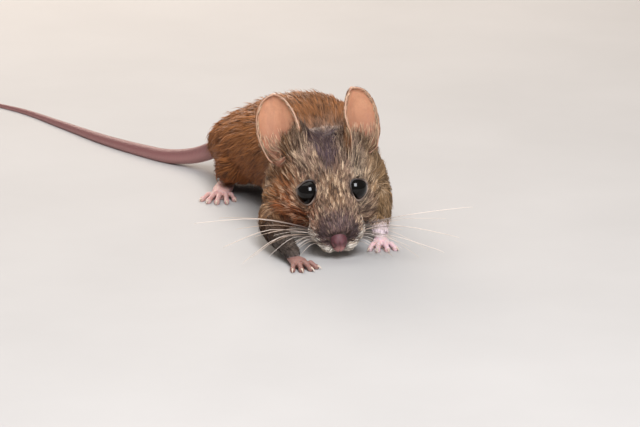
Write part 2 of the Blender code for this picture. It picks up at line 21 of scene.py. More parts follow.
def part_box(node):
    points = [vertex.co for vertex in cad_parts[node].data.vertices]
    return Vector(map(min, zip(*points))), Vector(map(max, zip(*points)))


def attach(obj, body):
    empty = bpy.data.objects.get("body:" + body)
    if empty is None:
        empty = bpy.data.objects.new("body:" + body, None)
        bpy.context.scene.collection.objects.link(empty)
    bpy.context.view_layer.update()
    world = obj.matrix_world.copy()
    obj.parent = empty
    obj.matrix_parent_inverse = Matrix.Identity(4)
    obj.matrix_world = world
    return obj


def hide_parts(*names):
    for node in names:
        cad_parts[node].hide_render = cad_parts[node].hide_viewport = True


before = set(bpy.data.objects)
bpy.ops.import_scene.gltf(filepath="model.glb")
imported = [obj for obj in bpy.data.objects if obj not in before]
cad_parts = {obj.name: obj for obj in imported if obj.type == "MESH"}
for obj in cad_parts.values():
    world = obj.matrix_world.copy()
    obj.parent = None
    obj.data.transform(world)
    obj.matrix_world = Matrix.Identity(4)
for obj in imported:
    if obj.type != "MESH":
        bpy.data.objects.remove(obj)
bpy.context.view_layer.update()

OUTWARD = {"left": 1, "right": -1}  # each side's way along +X
SIDES = tuple(OUTWARD)

# ---- Frames ----

MM = 0.001
EYE_LEVEL = 12.0
HEAD_PITCH, HEAD_YAW, HEAD_ROLL = 23.0, 7.0, 4.4


def turned(pitch=0.0, roll=0.0, yaw=0.0):
    """A rotation: roll about the long axis first, then pitch, then yaw."""
    return (
        Matrix.Rotation(math.radians(yaw), 4, "Z")
        @ Matrix.Rotation(math.radians(pitch), 4, "X")
        @ Matrix.Rotation(math.radians(roll), 4, "Y")
    )


def middle_of(node):
    low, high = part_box(node)
    return (low + high) / 2


BETWEEN_EYES = (middle_of("eye_left") + middle_of("eye_right")) / 2
BODY = Matrix.Translation(BETWEEN_EYES - Vector((0, 0, EYE_LEVEL * MM))) @ Matrix.Scale(MM, 4)
HEAD = Matrix.Translation((0, 0, EYE_LEVEL)) @ turned(HEAD_PITCH, -HEAD_ROLL, HEAD_YAW)
HEAD_TURN = np.array(HEAD.to_3x3())

# ---- Sizes and places, in millimetres ----

EYE_RADIUS, EYE_SPREAD = 2.4, 4.4
# How far each eye's lids open: ways round the eye, 0 towards the nose and 90 up, and degrees off its axis.
LID_OPENING = {
    "left": ((-160, 46), (-108, 50), (-85, 54), (-55, 58), (-8, 60), (16, 65), (36, 71), (58, 80), (75, 76),
             (90, 60), (110, 48), (150, 43)),
    "right": ((-134, 57), (-104, 58), (-83, 58), (-48, 55), (-13, 59), (18, 70), (53, 87), (70, 96), (83, 98),
              (96, 88), (104, 74), (114, 58), (126, 49), (150, 47), (175, 52)),
}
LID_RADIUS = 0.2
NOSE_TIP = np.array((0.0, -11.9, -4.6))
NOSE_RADII = np.array((1.75, 1.9, 2.2))
NOSE_MIDDLE = NOSE_TIP + np.array((0, NOSE_RADII[1], 0))
NOSE_BARE = 1.12  # how far the bare nose reaches, as a share of the pad's own radii
EAR_LENGTH, EAR_WIDTH, EAR_DEPTH, EAR_THICK = 13.3, 8.5, 3.0, 0.26
EAR_ROOT_SHARE, EAR_WIDEST = 0.66, 0.52
EAR_TIP_ARC, EAR_ROOT_ARC = 64.0, 95.0
EAR_ROOT_FORWARD, EAR_TIP_BACK, EAR_ROOT_INWARD = 1.2, 1.0, 0.9
EAR_ROLL_SHARES = (0.0, 0.25, 0.5, 0.8, 1.0)
# Root in the head's frame, how far each leans out and back and turns outward, and the roll of its front edge
# at those shares of its length.
EARS = {
    "left": ((5.5, 9.0, 1.6), 3.0, 16.0, 38.0, (168.0, 133.0, 98.0, 56.0, 56.0)),
    "right": ((-7.6, 9.0, 1.6), 9.0, 18.0, 16.0, (30.0, 52.0, 78.0, 60.0, 56.0)),
}
# Chains of (place, radius) up the furred foot of each ear, in the head's frame.
EAR_CONES = {
    "left": (((3.8, 9.8, 4.4), 2.7), ((4.5, 10.2, 8.0), 1.9), ((4.8, 10.4, 11.6), 0.9)),
    "right": (((-4.0, 9.8, 4.4), 2.6), ((-5.0, 10.2, 7.6), 1.7), ((-5.6, 10.6, 10.0), 0.9)),
}
SPINE = np.array(((0.6, 7, 13), (0, 13, 13.4), (-1.4, 20, 13), (-4.0, 28.5, 12.8), (-8.8, 38, 12.2),
                  (-13.4, 46, 10.8), (-18.0, 52.4, 8.8), (-21.6, 56.6, 7.4), (-23, 58.8, 6.6)))
ARMS = {
    "left": (((6, 17, 11), 5.2), ((9.2, 13.5, 6.8), 3.2), ((9.4, 5.2, 3.2), 1.7), ((9.4, 3.2, 2.2), 1.3)),
    "right": (((-8.2, 13, 10.5), 5.2), ((-11.2, 1, 5), 3.2), ((-8, -9, 2.7), 1.7), ((-7.2, -10.8, 2), 1.3)),
}
SHANKS = {
    "left": (((-3.4, 43.6, 6), 3.2), ((-7.6, 50.8, 3.8), 2.4), ((-9.6, 53.4, 2.4), 1.6)),
    "right": (((-21, 39, 6), 3.2), ((-21.4, 47.2, 3.8), 2.4), ((-21, 50, 2.4), 1.6)),
}
# Where each paw stands and which way it points, in degrees.
FOREPAWS = {"left": ((9.4, 4.2), 4.0), "right": ((-7.4, -10.2), 26.0)}
HINDFEET = {"left": ((-10.2, 54.2), 42.0), "right": ((-20.8, 51.2), -8.0)}
TAIL_KNOTS = ((-20.4, 53.4, 7.0), (-24.4, 59.0, 3.8), (-29.4, 64.4, 1.2), (-36.4, 70.8, 0.0),
              (-47.6, 83.6, 0.0), (-58.6, 99.4, 0.0), (-68.4, 113.4, 0.0), (-79.4, 124.4, 0.0))
TAIL_LENGTH, TAIL_ROOT_RADIUS, TAIL_TIP_RADIUS, TAIL_SETTLED = 88.0, 2.1, 0.45, 0.85
# The longest whiskers: where they leave the pads in the head's frame, then each one's middle and tip.
WHISKER_PAD, WHISKER_ROOTS = (4.3, -7.4), (-3.3, -4.3, -5.3)
WHISKERS = {
    "left": (((14.0, -8.6, 9.3), (25.2, -6.0, 10.1)), ((13.4, -9.6, 7.4), (22.8, -8.0, 5.1)),
             ((11.6, -11.0, 5.9), (20.0, -10.0, 2.9))),
    "right": (((-14.0, -9.6, 8.8), (-24.6, -8.0, 7.7)), ((-11.8, -10.8, 7.0), (-19.5, -10.0, 3.9)),
              ((-10.0, -11.8, 5.8), (-16.0, -12.0, 1.6))),
}
RUMP_END = (52.0, 58.0)  # the stretch of +Y over which the coat closes in on the tail's root
LOWER_LEG = (0.4, 0.9)  # the stretch of a leg, as shares of its length, over which its coat shortens

FLESH = ("head", "jaw", "neck", "chest", "loins", "rump") + tuple(
    f"{part}_{side}" for part in ("upper_arm", "forearm", "thigh", "shank") for side in SIDES
)
PADS = tuple(f"whisker_pad_{side}" for side in SIDES)

# ---- Shader maths ----


def tint(red, green, blue):
    """A colour given as 0 to 255 on a screen, in linear light."""
    shares = [value / 255 for value in (red, green, blue)]
    return tuple(((share + 0.055) / 1.055) ** 2.4 if share > 0.04 else share / 12.92 for share in shares)


class Wire:
    """A shader socket that can be used in sums like a number."""

    def __init__(self, finish, socket):
        self.finish, self.socket = finish, socket

    def maths(self, operation, *values):
        return self.finish.node("ShaderNodeMath", {"operation": operation}, dict(enumerate(values)))

    def __add__(self, other):
        return self.maths("ADD", self, other)

    def __sub__(self, other):
        return self.maths("SUBTRACT", self, other)

    def __rsub__(self, other):
        return self.maths("SUBTRACT", other, self)

    def __mul__(self, other):
        return self.maths("MULTIPLY", self, other)

    __radd__, __rmul__ = __add__, __mul__

    def sine(self):
        return self.maths("SINE", self)


class Finish:
    """A material under construction."""

    def __init__(self, name):
        self.material = bpy.data.materials.new(name)
        self.material.use_nodes = True
        self.tree = self.material.node_tree
        self.tree.nodes.clear()

    def node(self, kind, settings=None, sockets=None, output=0):
        """Adds a node, sets its settings, then its sockets, and gives back one of its outputs."""
        made = self.tree.nodes.new(kind)
        for name, value in (settings or {}).items():
            setattr(made, name, value)
        for name, value in (sockets or {}).items():
            socket = made.inputs[name]
            if isinstance(value, Wire):
                self.tree.links.new(value.socket, socket)
            elif socket.type == "RGBA":
                socket.default_value = (*value, 1.0)
            else:
                socket.default_value = value
        return Wire(self, made.outputs[output]) if made.outputs else made

    def attribute(self, name, output="Fac"):
        return self.node("ShaderNodeAttribute", {"attribute_name": name}, output=output)

    def places(self):
        return self.node("ShaderNodeTexCoord", output="Object")

    def noise(self, scale, detail=3.0, roughness=0.55, stretch=None):
        """Noise from 0 to 1, with its scale in cells for each millimetre."""
        where = self.places()
        if stretch:
            where = self.node("ShaderNodeMapping", None, {"Vector": where, "Scale": stretch})
        settings = {"Vector": where, "Scale": scale / MM, "Detail": detail, "Roughness": roughness}
        return self.node("ShaderNodeTexNoise", None, settings)

    def step(self, value, low, high):
        """0 below low and 1 above high, smooth between."""
        settings = {"interpolation_type": "SMOOTHSTEP"}
        return self.node("ShaderNodeMapRange", settings, {"Value": value, "From Min": low, "From Max": high})

    def mixed(self, share, first, second):
        return self.node("ShaderNodeMix", {"data_type": "RGBA"}, {0: share, 6: first, 7: second}, output=2)

    def mottled(self, scale, detail, first, second):
        """Two colours mixed by noise."""
        return self.mixed(self.noise(scale, detail), first, second)

    def scaled(self, colour, amount):
        return self.node("ShaderNodeVectorMath", {"operation": "SCALE"}, {"Vector": colour, "Scale": amount})

    def bump(self, height, strength, distance):
        """A Bump node whose distance is in millimetres."""
        sockets = {"Height": height, "Strength": strength, "Distance": distance * MM}
        return self.node("ShaderNodeBump", None, sockets)

    def surface(self, **sockets):
        """The one shader of the finish. Socket names are given with underscores for spaces."""
        sockets = {name.replace("_", " "): value for name, value in sockets.items()}
        shader = self.node("ShaderNodeBsdfPrincipled", None, sockets)
        self.node("ShaderNodeOutputMaterial", None, {"Surface": shader})
        return self.material


# ---- Shape helpers ----


def between(a, b, share):
    return a + (b - a) * share


def smooth_share(low, high, value):
    """0 where value is at low, 1 where it is at high, and smooth between; low may be the larger."""
    share = np.clip((value - low) / (high - low), 0.0, 1.0)
    return share * share * (3 - 2 * share)


def bump_at(distance, width):
    """A soft round bump of height 1 where distance is 0."""
    return np.exp(-((distance / width) ** 2))


def placed(matrix, points):
    matrix = np.array(matrix)
    return points @ matrix[:3, :3].T + matrix[:3, 3]


def unit(vectors):
    return vectors / np.maximum(np.linalg.norm(vectors, axis=-1, keepdims=True), 1e-9)


def in_head(points):
    return placed(HEAD.inverted(), points)


def along_spine(points, values):
    """Values given at the spine's joints, read for each point at its own place along the body."""
    return np.stack([np.interp(points[:, 1], SPINE[:, 1], row) for row in values.T], axis=1)


def read_all(items, key):
    """A vector of each item, as one array."""
    found = np.empty(len(items) * 3, np.float32)
    items.foreach_get(key, found)
    return found.reshape(-1, 3).astype(float)


def points_of(mesh):
    return read_all(mesh.vertices, "co")


def normals_of(mesh):
    return read_all(mesh.vertex_normals, "vector")


def move_points(mesh, points):
    mesh.vertices.foreach_set("co", points.astype(np.float32).ravel())
    mesh.update()


def linked(name, data):
    obj = bpy.data.objects.new(name, data)
    bpy.context.scene.collection.objects.link(obj)
    return obj


def object_of(bm, name):
    mesh = bpy.data.meshes.new(name)
    bm.to_mesh(mesh)
    bm.free()
    return linked(name, mesh)


def faced_out(bm):
    bmesh.ops.recalc_face_normals(bm, faces=bm.faces)
    return bm


def refaced(mesh):
    """Turns the faces of a finished mesh outwards."""
    bm = bmesh.new()
    bm.from_mesh(mesh)
    faced_out(bm).to_mesh(mesh)
    bm.free()


def modified(obj, *kinds):
    """Adds modifiers, each given as (type, settings), and makes them part of the mesh."""
    for kind, settings in kinds:
        modifier = obj.modifiers.new(kind.lower(), kind)
        for name, value in settings.items():
            setattr(modifier, name, value)
    graph = bpy.context.evaluated_depsgraph_get()
    mesh = bpy.data.meshes.new_from_object(obj.evaluated_get(graph))
    obj.modifiers.clear()
    old, obj.data = obj.data, mesh
    bpy.data.meshes.remove(old)
    return obj


def blended(obj, voxel, rounds):
    """Turns overlapping shapes into one smooth closed skin."""
    return modified(
        obj,
        ("REMESH", {"mode": "VOXEL", "voxel_size": voxel}),
        ("SMOOTH", {"factor": 0.5, "iterations": rounds}),
    )


def set_values(mesh, name, values):
    """Stores one number or one colour for each point of the mesh."""
    if values.ndim == 1:
        mesh.attributes.new(name, "FLOAT", "POINT").data.foreach_set("value", values.astype(np.float32))
        return
    colours = np.ones((len(values), 4), np.float32)
    colours[:, :3] = values
    mesh.attributes.new(name, "FLOAT_COLOR", "POINT").data.foreach_set("color", colours.ravel())


def finished(obj, material, slot, *stands_for):
    obj.data.transform(BODY)
    obj.data.materials.clear()
    obj.data.materials.append(material)
    obj.data.shade_smooth()
    if stands_for:
        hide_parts(*stands_for)
    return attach(obj, "root")


def catmull_rom(before, start, end, after, t):
    """The smooth value a share t of the way from start to end, given the values on either side."""
    return 0.5 * (
        2 * start
        + (end - before) * t
        + (2 * before - 5 * start + 4 * end - after) * t * t
        + (3 * start - before - 3 * end + after) * t * t * t
    )


def smoothed(knots, steps):
    """The knots with steps - 1 smooth points put between each pair."""
    knots = [Vector(knot) for knot in knots]
    padded = [knots[0], *knots, knots[-1]]
    found = []
    for i in range(1, len(padded) - 2):
        found += [catmull_rom(*padded[i - 1 : i + 3], step / steps) for step in range(steps)]
    return [*found, knots[-1]]


def tube(bm, middles, radii, sides, flat=1.0):
    """A closed tube through the middles, its rings made as circles and bridged; flat squashes it upright."""
    rings = []
    for i, (middle, radius) in enumerate(zip(middles, radii)):
        ahead = (middles[min(i + 1, len(middles) - 1)] - middles[max(i - 1, 0)]).normalized()
        side = ahead.cross(Vector((0, 0, 1))).normalized()
        over = side.cross(ahead)
        turn = Matrix((side, over, ahead)).transposed().to_4x4()
        place = Matrix.Translation(middle) @ turn @ Matrix.Diagonal((radius, radius * flat, 1.0, 1.0))
        circle = bmesh.ops.create_circle(bm, segments=sides, radius=1.0, matrix=place)["verts"]
        rings.append(circle)
    for near, far in zip(rings, rings[1:]):
        edges = {edge for ring in (near, far) for vert in ring for edge in vert.link_edges
                 if edge.other_vert(vert) in ring}
        bmesh.ops.bridge_loops(bm, edges=list(edges))
    for ring in (rings[0], rings[-1]):
        bmesh.ops.contextual_create(bm, geom=ring)
    return rings


def ball(bm, middle, radii, turn=Matrix.Identity(4), around=24, along=14):
    place = Matrix.Translation(middle) @ turn @ Matrix.Diagonal((*radii, 1.0))
    bmesh.ops.create_uvsphere(bm, u_segments=around, v_segments=along, radius=1.0, matrix=place)


# ---- Camera, floor and lights ----

CAMERA_RISE = 15.0  # degrees above level
CAMERA_REACH = 700.0  # from the point between the eyes to the camera's plane
FRAME_WIDTH = 640.0  # of the view, in the units that the focus and the two offsets are given in
CAMERA_FOCUS = 3640.0
EYES_ACROSS, EYES_ABOVE = 12.0 / CAMERA_FOCUS, 23.5 / CAMERA_FOCUS  # where the eyes sit off the middle
SENSOR = 36.0
FLOOR_RADIUS = 6000.0
WORLD_TINT, WORLD_STRENGTH = tint(216, 214, 214), 0.31
LIT_POINT = (0, 15, 12)
# Each light's place, its two sides, its power and its colour.
LIGHTS = {
    "overhead": ((-160, 220, 560), (620, 620), 1.7, tint(255, 250, 244)),
    "rim": ((-140, 520, 260), (360, 220), 2.0, tint(255, 238, 222)),
    "window": ((70, -430, 430), (240, 320), 4.8, tint(246, 249, 255)),
}


def aimed(name, data, place, towards):
    """A light or camera at a place, both in the body's frame, looking towards another place."""
    obj = linked(name, data)
    start, end = BODY @ Vector(place), BODY @ Vector(towards)
    obj.location = start
    obj.rotation_euler = (end - start).to_track_quat("-Z", "Y").to_euler()
    return obj


def make_camera():
    rise = math.radians(CAMERA_RISE)
    ahead = Vector((0, math.cos(rise), -math.sin(rise)))
    up = Vector((0, math.sin(rise), math.cos(rise)))
    offset = ahead + Vector((1, 0, 0)) * EYES_ACROSS + up * EYES_ABOVE
    place = Vector((0, 0, EYE_LEVEL)) - offset * CAMERA_REACH
    data = bpy.data.cameras.new("camera")
    data.sensor_width = SENSOR
    data.lens = CAMERA_FOCUS * SENSOR / FRAME_WIDTH
    data.clip_start, data.clip_end = 0.05, 20.0
    bpy.context.scene.camera = aimed("camera", data, place, place + ahead * 100)


def make_lights():
    for name, (place, sides, power, colour) in LIGHTS.items():
        data = bpy.data.lights.new(name, "AREA")
        data.shape = "RECTANGLE"
        data.size, data.size_y = (side * MM for side in sides)
        data.energy, data.color = power, colour
        aimed(name, data, place, LIT_POINT)
    world = bpy.data.worlds.new("studio")
    world.use_nodes = True
    background = world.node_tree.nodes["Background"]
    background.inputs["Color"].default_value = (*WORLD_TINT, 1.0)
    background.inputs["Strength"].default_value = WORLD_STRENGTH
    bpy.context.scene.world = world
    bpy.context.scene.view_settings.view_transform = "Standard"


def make_floor():
    bm = bmesh.new()
    bmesh.ops.create_circle(bm, cap_ends=True, segments=64, radius=FLOOR_RADIUS)
    floor = object_of(bm, "floor")
    floor.data.transform(BODY)
    finish = Finish("pale_floor")
    colour = finish.mottled(0.02, 4.0, tint(178, 175, 172), tint(192, 189, 186))
    floor.data.materials.append(finish.surface(Base_Color=colour, Roughness=0.8))


# ---- Where on the mouse ----

EYE_LOOK = (0.76, -0.63, 0.16)  # the way the left eye looks, in the head's frame


def nose_distance(head):
    return np.linalg.norm(head - NOSE_TIP, axis=1)


def on_nose_pad(head):
    """Distance from the nose pad's middle as a share of its radii."""
    return np.linalg.norm((head - NOSE_MIDDLE) / NOSE_RADII, axis=1)


def eye_middle(side):
    return np.array((EYE_SPREAD * OUTWARD[side], 0.0, 0.0))


def eye_axis(side):
    return Vector((EYE_LOOK[0] * OUTWARD[side], *EYE_LOOK[1:])).normalized()


def eye_sides(side):
    """Across the eye: the way up, and the way towards the nose."""
    axis = eye_axis(side)
    up = (Vector((0, 0, 1)) - axis * axis.z).normalized()
    towards_nose = axis.cross(up) if side == "left" else up.cross(axis)
    return np.array(up), np.array(towards_nose)


def eye_distance(head):
    """Distance from the nearer eye's middle."""
    return np.minimum(*(np.linalg.norm(head - eye_middle(side), axis=1) for side in SIDES))


def about_eye(head, side):
    """Distance from the eye's middle, degrees from its axis, and the way round it from the nose's side over
    the top."""
    off = head - eye_middle(side)
    along = unit(off) @ np.array(eye_axis(side))
    up, towards_nose = eye_sides(side)
    around = np.arctan2(off @ up, off @ towards_nose)
    return np.linalg.norm(off, axis=1), np.degrees(np.arccos(np.clip(along, -1, 1))), around


def lid_angle(side, around):
    """Degrees from the eye's axis to its lids: open at the inner corner, hooded above the outer one."""
    at, opening = zip(*LID_OPENING[side])
    turns = np.degrees(around)
    near = [np.interp(turns + shift, at, opening, period=360.0) for shift in (-6.0, 0.0, 6.0)]
    return (near[0] + 2 * near[1] + near[2]) / 4


def on_trunk(head):
    """0 on the head and 1 from the shoulders back."""
    return smooth_share(11.0, 21.0, head[:, 1])


def nearest_bone(points, joints):
    """Distance to a chain of (place, radius) over its radius, its direction, and the share of its length."""
    best = np.full(len(points), 1e9)
    ahead = np.zeros((len(points), 3))
    share = np.zeros(len(points))
    for i, ((a, ra), (b, rb)) in enumerate(zip(joints, joints[1:])):
        a, b = np.array(a, float), np.array(b, float)
        t = np.clip((points - a) @ (b - a) / ((b - a) @ (b - a)), 0, 1)
        off = np.linalg.norm(points - (a + t[:, None] * (b - a)), axis=1) / (ra + (rb - ra) * t)
        nearer = off < best
        best[nearer] = off[nearer]
        ahead[nearer] = unit(b - a)
        share[nearer] = ((i + t) / (len(joints) - 1))[nearer]
    return best, ahead, share


def strongest(points, chains, reach, begins):
    """How far each point is on one of the chains, the way along it, and the share of its length."""
    weight, ahead, share = np.zeros(len(points)), np.zeros((len(points), 3)), np.zeros(len(points))
    for joints in chains:
        off, along, down = nearest_bone(points, joints)
        here = smooth_share(*reach, off) * begins(down)
        stronger = here > weight
        weight[stronger], ahead[stronger], share[stronger] = here[stronger], along[stronger], down[stronger]
    return weight, ahead, share


def on_limbs(points):
    """How far each point is on a leg rather than the trunk, the way down that leg, and the share of it."""
    legs = [*ARMS.values(), *SHANKS.values()]
    return strongest(points, legs, (1.9, 1.25), lambda down: smooth_share(0.1, 0.45, down))


def on_ear_cones(head):
    """How far each point is on the furred foot of an ear, and the way up it."""
    risen = smooth_share(3.0, 5.5, head[:, 2])
    return strongest(head, EAR_CONES.values(), (2.0, 1.2), lambda down: risen)[:2]


def over_body(points, face, trunk, upper_leg, foot, rump):
    """A measure of the coat: its values on the face, and what they turn into over the rest of the body."""
    value = between(face, trunk, on_trunk(in_head(points)))
    limb, _, share = on_limbs(points)
    value = between(value, between(upper_leg, foot, smooth_share(*LOWER_LEG, share)), limb)
    return between(value, rump, smooth_share(*RUMP_END, points[:, 1]))


def off_eyes(head):
    """0 at the edge of the eyes and 1 where the coat is at its full size."""
    return smooth_share(2.6, 5.0, eye_distance(head))


def coat_depth(points):
    """How far the coat stands proud of the skin."""
    head = in_head(points)
    at_eye = 0.22
    face = at_eye + 0.6 * smooth_share(2.0, 13.0, nose_distance(head))
    face = between(at_eye, face, off_eyes(head))
    return over_body(points, face, trunk=1.25, upper_leg=0.8, foot=0.25, rump=0.4)


def coat_length(points):
    head = in_head(points)
    face = 0.8 + 0.16 * nose_distance(head)
    face = face * between(0.6, 1.0, off_eyes(head))
    return over_body(points, face, trunk=4.6, upper_leg=3.2, foot=1.2, rump=2.4)


def coat_flow(points):
    """The way the coat lies, before it is laid flat on the skin."""
    head = in_head(points)
    backward = np.array((0.0, 0.35, 0.0))
    cone, up_cone = on_ear_cones(head)
    from_nose = between(unit(unit(head - NOSE_TIP) + backward), up_cone, cone[:, None])
    for side in SIDES:
        away = head - eye_middle(side)
        distance = np.linalg.norm(away, axis=1)
        away = unit(away)
        into = np.minimum((from_nose * away).sum(1), 0.0) * smooth_share(6.0, 2.6, distance)
        from_nose = from_nose - away * into[:, None] * 1.25
    face = unit(from_nose) @ HEAD_TURN.T
    back = along_spine(points, unit(np.gradient(SPINE, axis=0)))
    sideways = np.abs(unit(points - along_spine(points, SPINE))[:, 0])
    back = back + np.array((0, 0, -0.55)) * sideways[:, None]
    flow = between(face, unit(back), on_trunk(head)[:, None])
    limb, down, _ = on_limbs(points)
    return unit(between(flow, down + np.array((0, 0.25, 0)), limb[:, None]))


# ---- Markings ----

BACK_BROWN, BACK_DARK, FLANK_BROWN_AND_SHADE = tint(160, 104, 62), tint(96, 66, 44), tint(130, 78, 42)
FACE_TAN, FACE_WARM, FACE_PALE = tint(140, 114, 97), tint(134, 100, 70), tint(206, 186, 160)
CHEEK_ORANGE, BROW_BROWN, OLIVE = tint(164, 90, 46), tint(112, 84, 64), tint(148, 116, 76)
CROWN_SLATE, MUZZLE_LILAC, PAD_DARK = tint(60, 46, 58), tint(72, 52, 60), tint(50, 37, 38)
LIP_CREAM, BELLY_WHITE, LEG_WHITE = tint(228, 218, 204), tint(226, 222, 214), tint(226, 208, 210)
# The last of these is painted shade, laid on the right shoulder and legs that stand in shadow.
HAIR_DARK, HAIR_CREAM, LEG_PAINTED_SHADE = tint(50, 36, 30), tint(224, 194, 160), tint(54, 37, 29)
BELLY_LEVEL = -8.4  # where the white of the belly begins, from the spine down
# The white reaches lower on the right legs, which carry painted shade in its place.
WHITE_LEG_TOP = {"left": 4.6, "right": 1.6}  # height above the floor that the white of the legs reaches


def laid_over(colours, mask, colour):
    return between(colours, np.array(colour), np.clip(mask, 0, 1)[:, None])


def painted(base, count, *patches):
    """Colours of count points: a base with patches, each a mask and its colour, laid over it in turn."""
    colours = np.tile(np.array(base), (count, 1))
    for mask, colour in patches:
        colours = laid_over(colours, mask, colour)
    return colours


def trunk_colours(points):
    off = points - along_spine(points, SPINE)
    aside, rise = np.abs(off[:, 0]), off[:, 2]
    return painted(
        BACK_BROWN, len(points),
        (bump_at(aside, 4.0) * smooth_share(3.0, 7.0, rise) * 0.45, BACK_DARK),
        # The lower flanks are darker: partly their own colour, partly painted shade under the body.
        (smooth_share(4.0, -2.0, rise) * 0.7, FLANK_BROWN_AND_SHADE),
        (smooth_share(0.0, -2.0, rise - BELLY_LEVEL), BELLY_WHITE),
    )


def streaked(x, y, level, fine, sway):
    """Fine lines of stronger and weaker colour that run back along a marking of the head."""
    return np.clip(level + 0.3 * np.sin(x * fine + sway[0] * np.sin(y * sway[1])), 0, 1)


def eye_surround(head, side):
    """The pale and the brown masks of the skin round an eye."""
    distance, angle, around = about_eye(head, side)
    margin = bump_at(angle - lid_angle(side, around) - 12.0, 9.0) * smooth_share(4.5, 3.4, distance)
    below, above = smooth_share(0.4, -0.6, np.sin(around)), smooth_share(0.0, 0.8, np.sin(around))
    return (margin * below * 0.7, FACE_PALE), (margin * above * 0.75, BROW_BROWN)


def face_colours(head):
    x, y, z = head.T
    aside = np.abs(x)
    left, right = smooth_share(3.0, 5.0, x), smooth_share(1.5, 4.5, -x)
    bridge = bump_at(x, 2.4) * smooth_share(3.0, -1.0, y) * smooth_share(-10.5, -7.0, y)
    cheek = right * bump_at(z + 3.8, 4.2) * bump_at(y + 1.0, 6.5) * smooth_share(10.2, 8.8, aside)
    half_width = 1.2 + 0.15 * np.clip(y, 0, 9)
    crown = smooth_share(half_width + 0.5, half_width - 0.5, np.abs(x + 0.1 + 0.04 * y))
    crown = crown * smooth_share(-2.6, 0.8, y) * smooth_share(12.5, 9.5, y) * smooth_share(1.2, 2.4, z)
    crown = crown * streaked(x, y, 0.86, 13.0, (0.7, 1.3))
    before = smooth_share(-5.0, -7.5, y)
    lilac = smooth_share(4.0, 2.4, aside) * before * smooth_share(3.1, 1.9, on_nose_pad(head))
    lilac = lilac * streaked(x, y, 0.8, 11.0, (0.5, 1.7))
    from_pad = np.hypot((aside - 2.6) / 1.25, (z + 3.0) / 1.3)
    from_lips = np.hypot(x / 4.3, (z + 2.4) / 3.5)
    lips = smooth_share(0.82, 0.98, from_lips) * smooth_share(-2.4, -3.8, z) * smooth_share(-3.6, -5.6, y)
    return painted(
        FACE_TAN, len(head),
        (bridge * 0.8, FACE_WARM),
        (smooth_share(5.0, 8.5, aside) * 0.7, OLIVE),
        (smooth_share(5.0, 8.5, -x) * 0.5, BACK_BROWN),
        (cheek * 0.95, CHEEK_ORANGE),
        (left * bump_at(z - 2.8, 2.2) * bump_at(y, 3.6) * 0.85, FACE_PALE),
        (right * bump_at(z - 3.4, 1.6) * bump_at(y - 0.5, 3.4) * 0.6, BROW_BROWN),
        *eye_surround(head, "left"),
        *eye_surround(head, "right"),
        (crown * 0.92, CROWN_SLATE),
        (lilac * 0.85, MUZZLE_LILAC),
        (smooth_share(1.1, 0.5, from_pad) * before * 0.85, PAD_DARK),
        (lips * 0.95, LIP_CREAM),
        (smooth_share(-7.0, -8.4, z) * smooth_share(6.4, 5.0, aside), BELLY_WHITE),
    )


def markings(points):
    """The colour of the coat's tips at each point of the body, with painted shade on the right shoulder and
    the right legs.
    """
    head = in_head(points)
    colours = between(face_colours(head), trunk_colours(points), on_trunk(head)[:, None])
    across, back, up = points.T
    limb = on_limbs(points)[0]
    # Painted shade: the right shoulder and the right legs, which stand in shadow, are darkened to a deep
    # brown.
    shaded_shoulder = smooth_share(-5.0, -7.0, across) * smooth_share(16.0, 10.0, back) * smooth_share(8.2, 6.2, up)
    dark = np.maximum(shaded_shoulder, limb * (across < 0) * smooth_share(9.0, 7.0, up))
    colours = laid_over(colours, dark * 0.9, LEG_PAINTED_SHADE)
    top = np.where(across > 0, WHITE_LEG_TOP["left"], WHITE_LEG_TOP["right"])
    return laid_over(colours, limb * smooth_share(0.8, -0.6, up - top), LEG_WHITE)


# ---- Skin ----

SKIN_VOXEL = 0.36
SEAM_CLOSE = 0.22  # how far each node of flesh is grown, so that they meet
# Balls laid on either side of the muzzle, each its middle on the left and its radii: the whisker pad's side,
# the upper lip, and the chin, which lies on the middle.
MUZZLE_BALLS = (
    ((2.8, -7.0, -3.9), (3.0, 3.8, 2.9)),
    ((1.6, -8.7, -6.0), (2.5, 2.7, 1.8)),
    ((0.0, -8.0, -6.6), (2.6, 2.8, 1.5)),
)
SKIN_LIFT = 0.35  # least height of the skin above the floor


def flesh_copy(names, grow):
    """The nodes' meshes in the body's frame, each merged into a closed shell and grown a little."""
    whole = bmesh.new()
    for name in names:
        own = bmesh.new()
        own.from_mesh(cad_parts[name].data)
        bmesh.ops.transform(own, matrix=BODY.inverted(), verts=own.verts)
        bmesh.ops.remove_doubles(own, verts=own.verts, dist=0.004)
        own.normal_update()
        for vert, move in [(vert, vert.normal * grow) for vert in own.verts]:
            vert.co += move
        scratch = bpy.data.meshes.new("scratch")
        own.to_mesh(scratch)
        own.free()
        whole.from_mesh(scratch)
        bpy.data.meshes.remove(scratch)
    return whole


def under_coat_finish():
    finish = Finish("under_coat_skin")
    marking = finish.attribute("markings", "Color")
    colour = finish.mixed(0.35, finish.mottled(2.2, 4.0, tint(38, 30, 28), tint(66, 52, 44)), marking)
    bump = finish.bump(finish.noise(3.0, 5.0), 0.8, 0.25)
    return finish.surface(Base_Color=colour, Roughness=0.8, Normal=bump)


def open_lids(head):
    """Sinks the skin under the eyeball inside the lids and brings it up to their rim all round."""
    for side in SIDES:
        distance, angle, around = about_eye(head, side)
        limit = lid_angle(side, around)
        inside = smooth_share(limit + 3.0, limit - 5.0, angle)
        rim = EYE_RADIUS + 0.1 + 3.2 * smooth_share(limit, limit + 46.0, angle)
        held = np.minimum(distance, rim)
        held = between(held, np.maximum(held, EYE_RADIUS + 0.1), 1 - inside)
        wanted = between(held, np.minimum(distance, EYE_RADIUS - 0.25), inside)
        near = smooth_share(limit + 34.0, limit + 8.0, angle) * smooth_share(5.4, 4.2, distance)
        moved = between(distance, wanted, np.maximum(near, inside * (distance < 5.0)))
        off = head - eye_middle(side)
        head = eye_middle(side) + off * (moved / np.maximum(distance, 1e-6))[:, None]
    return head


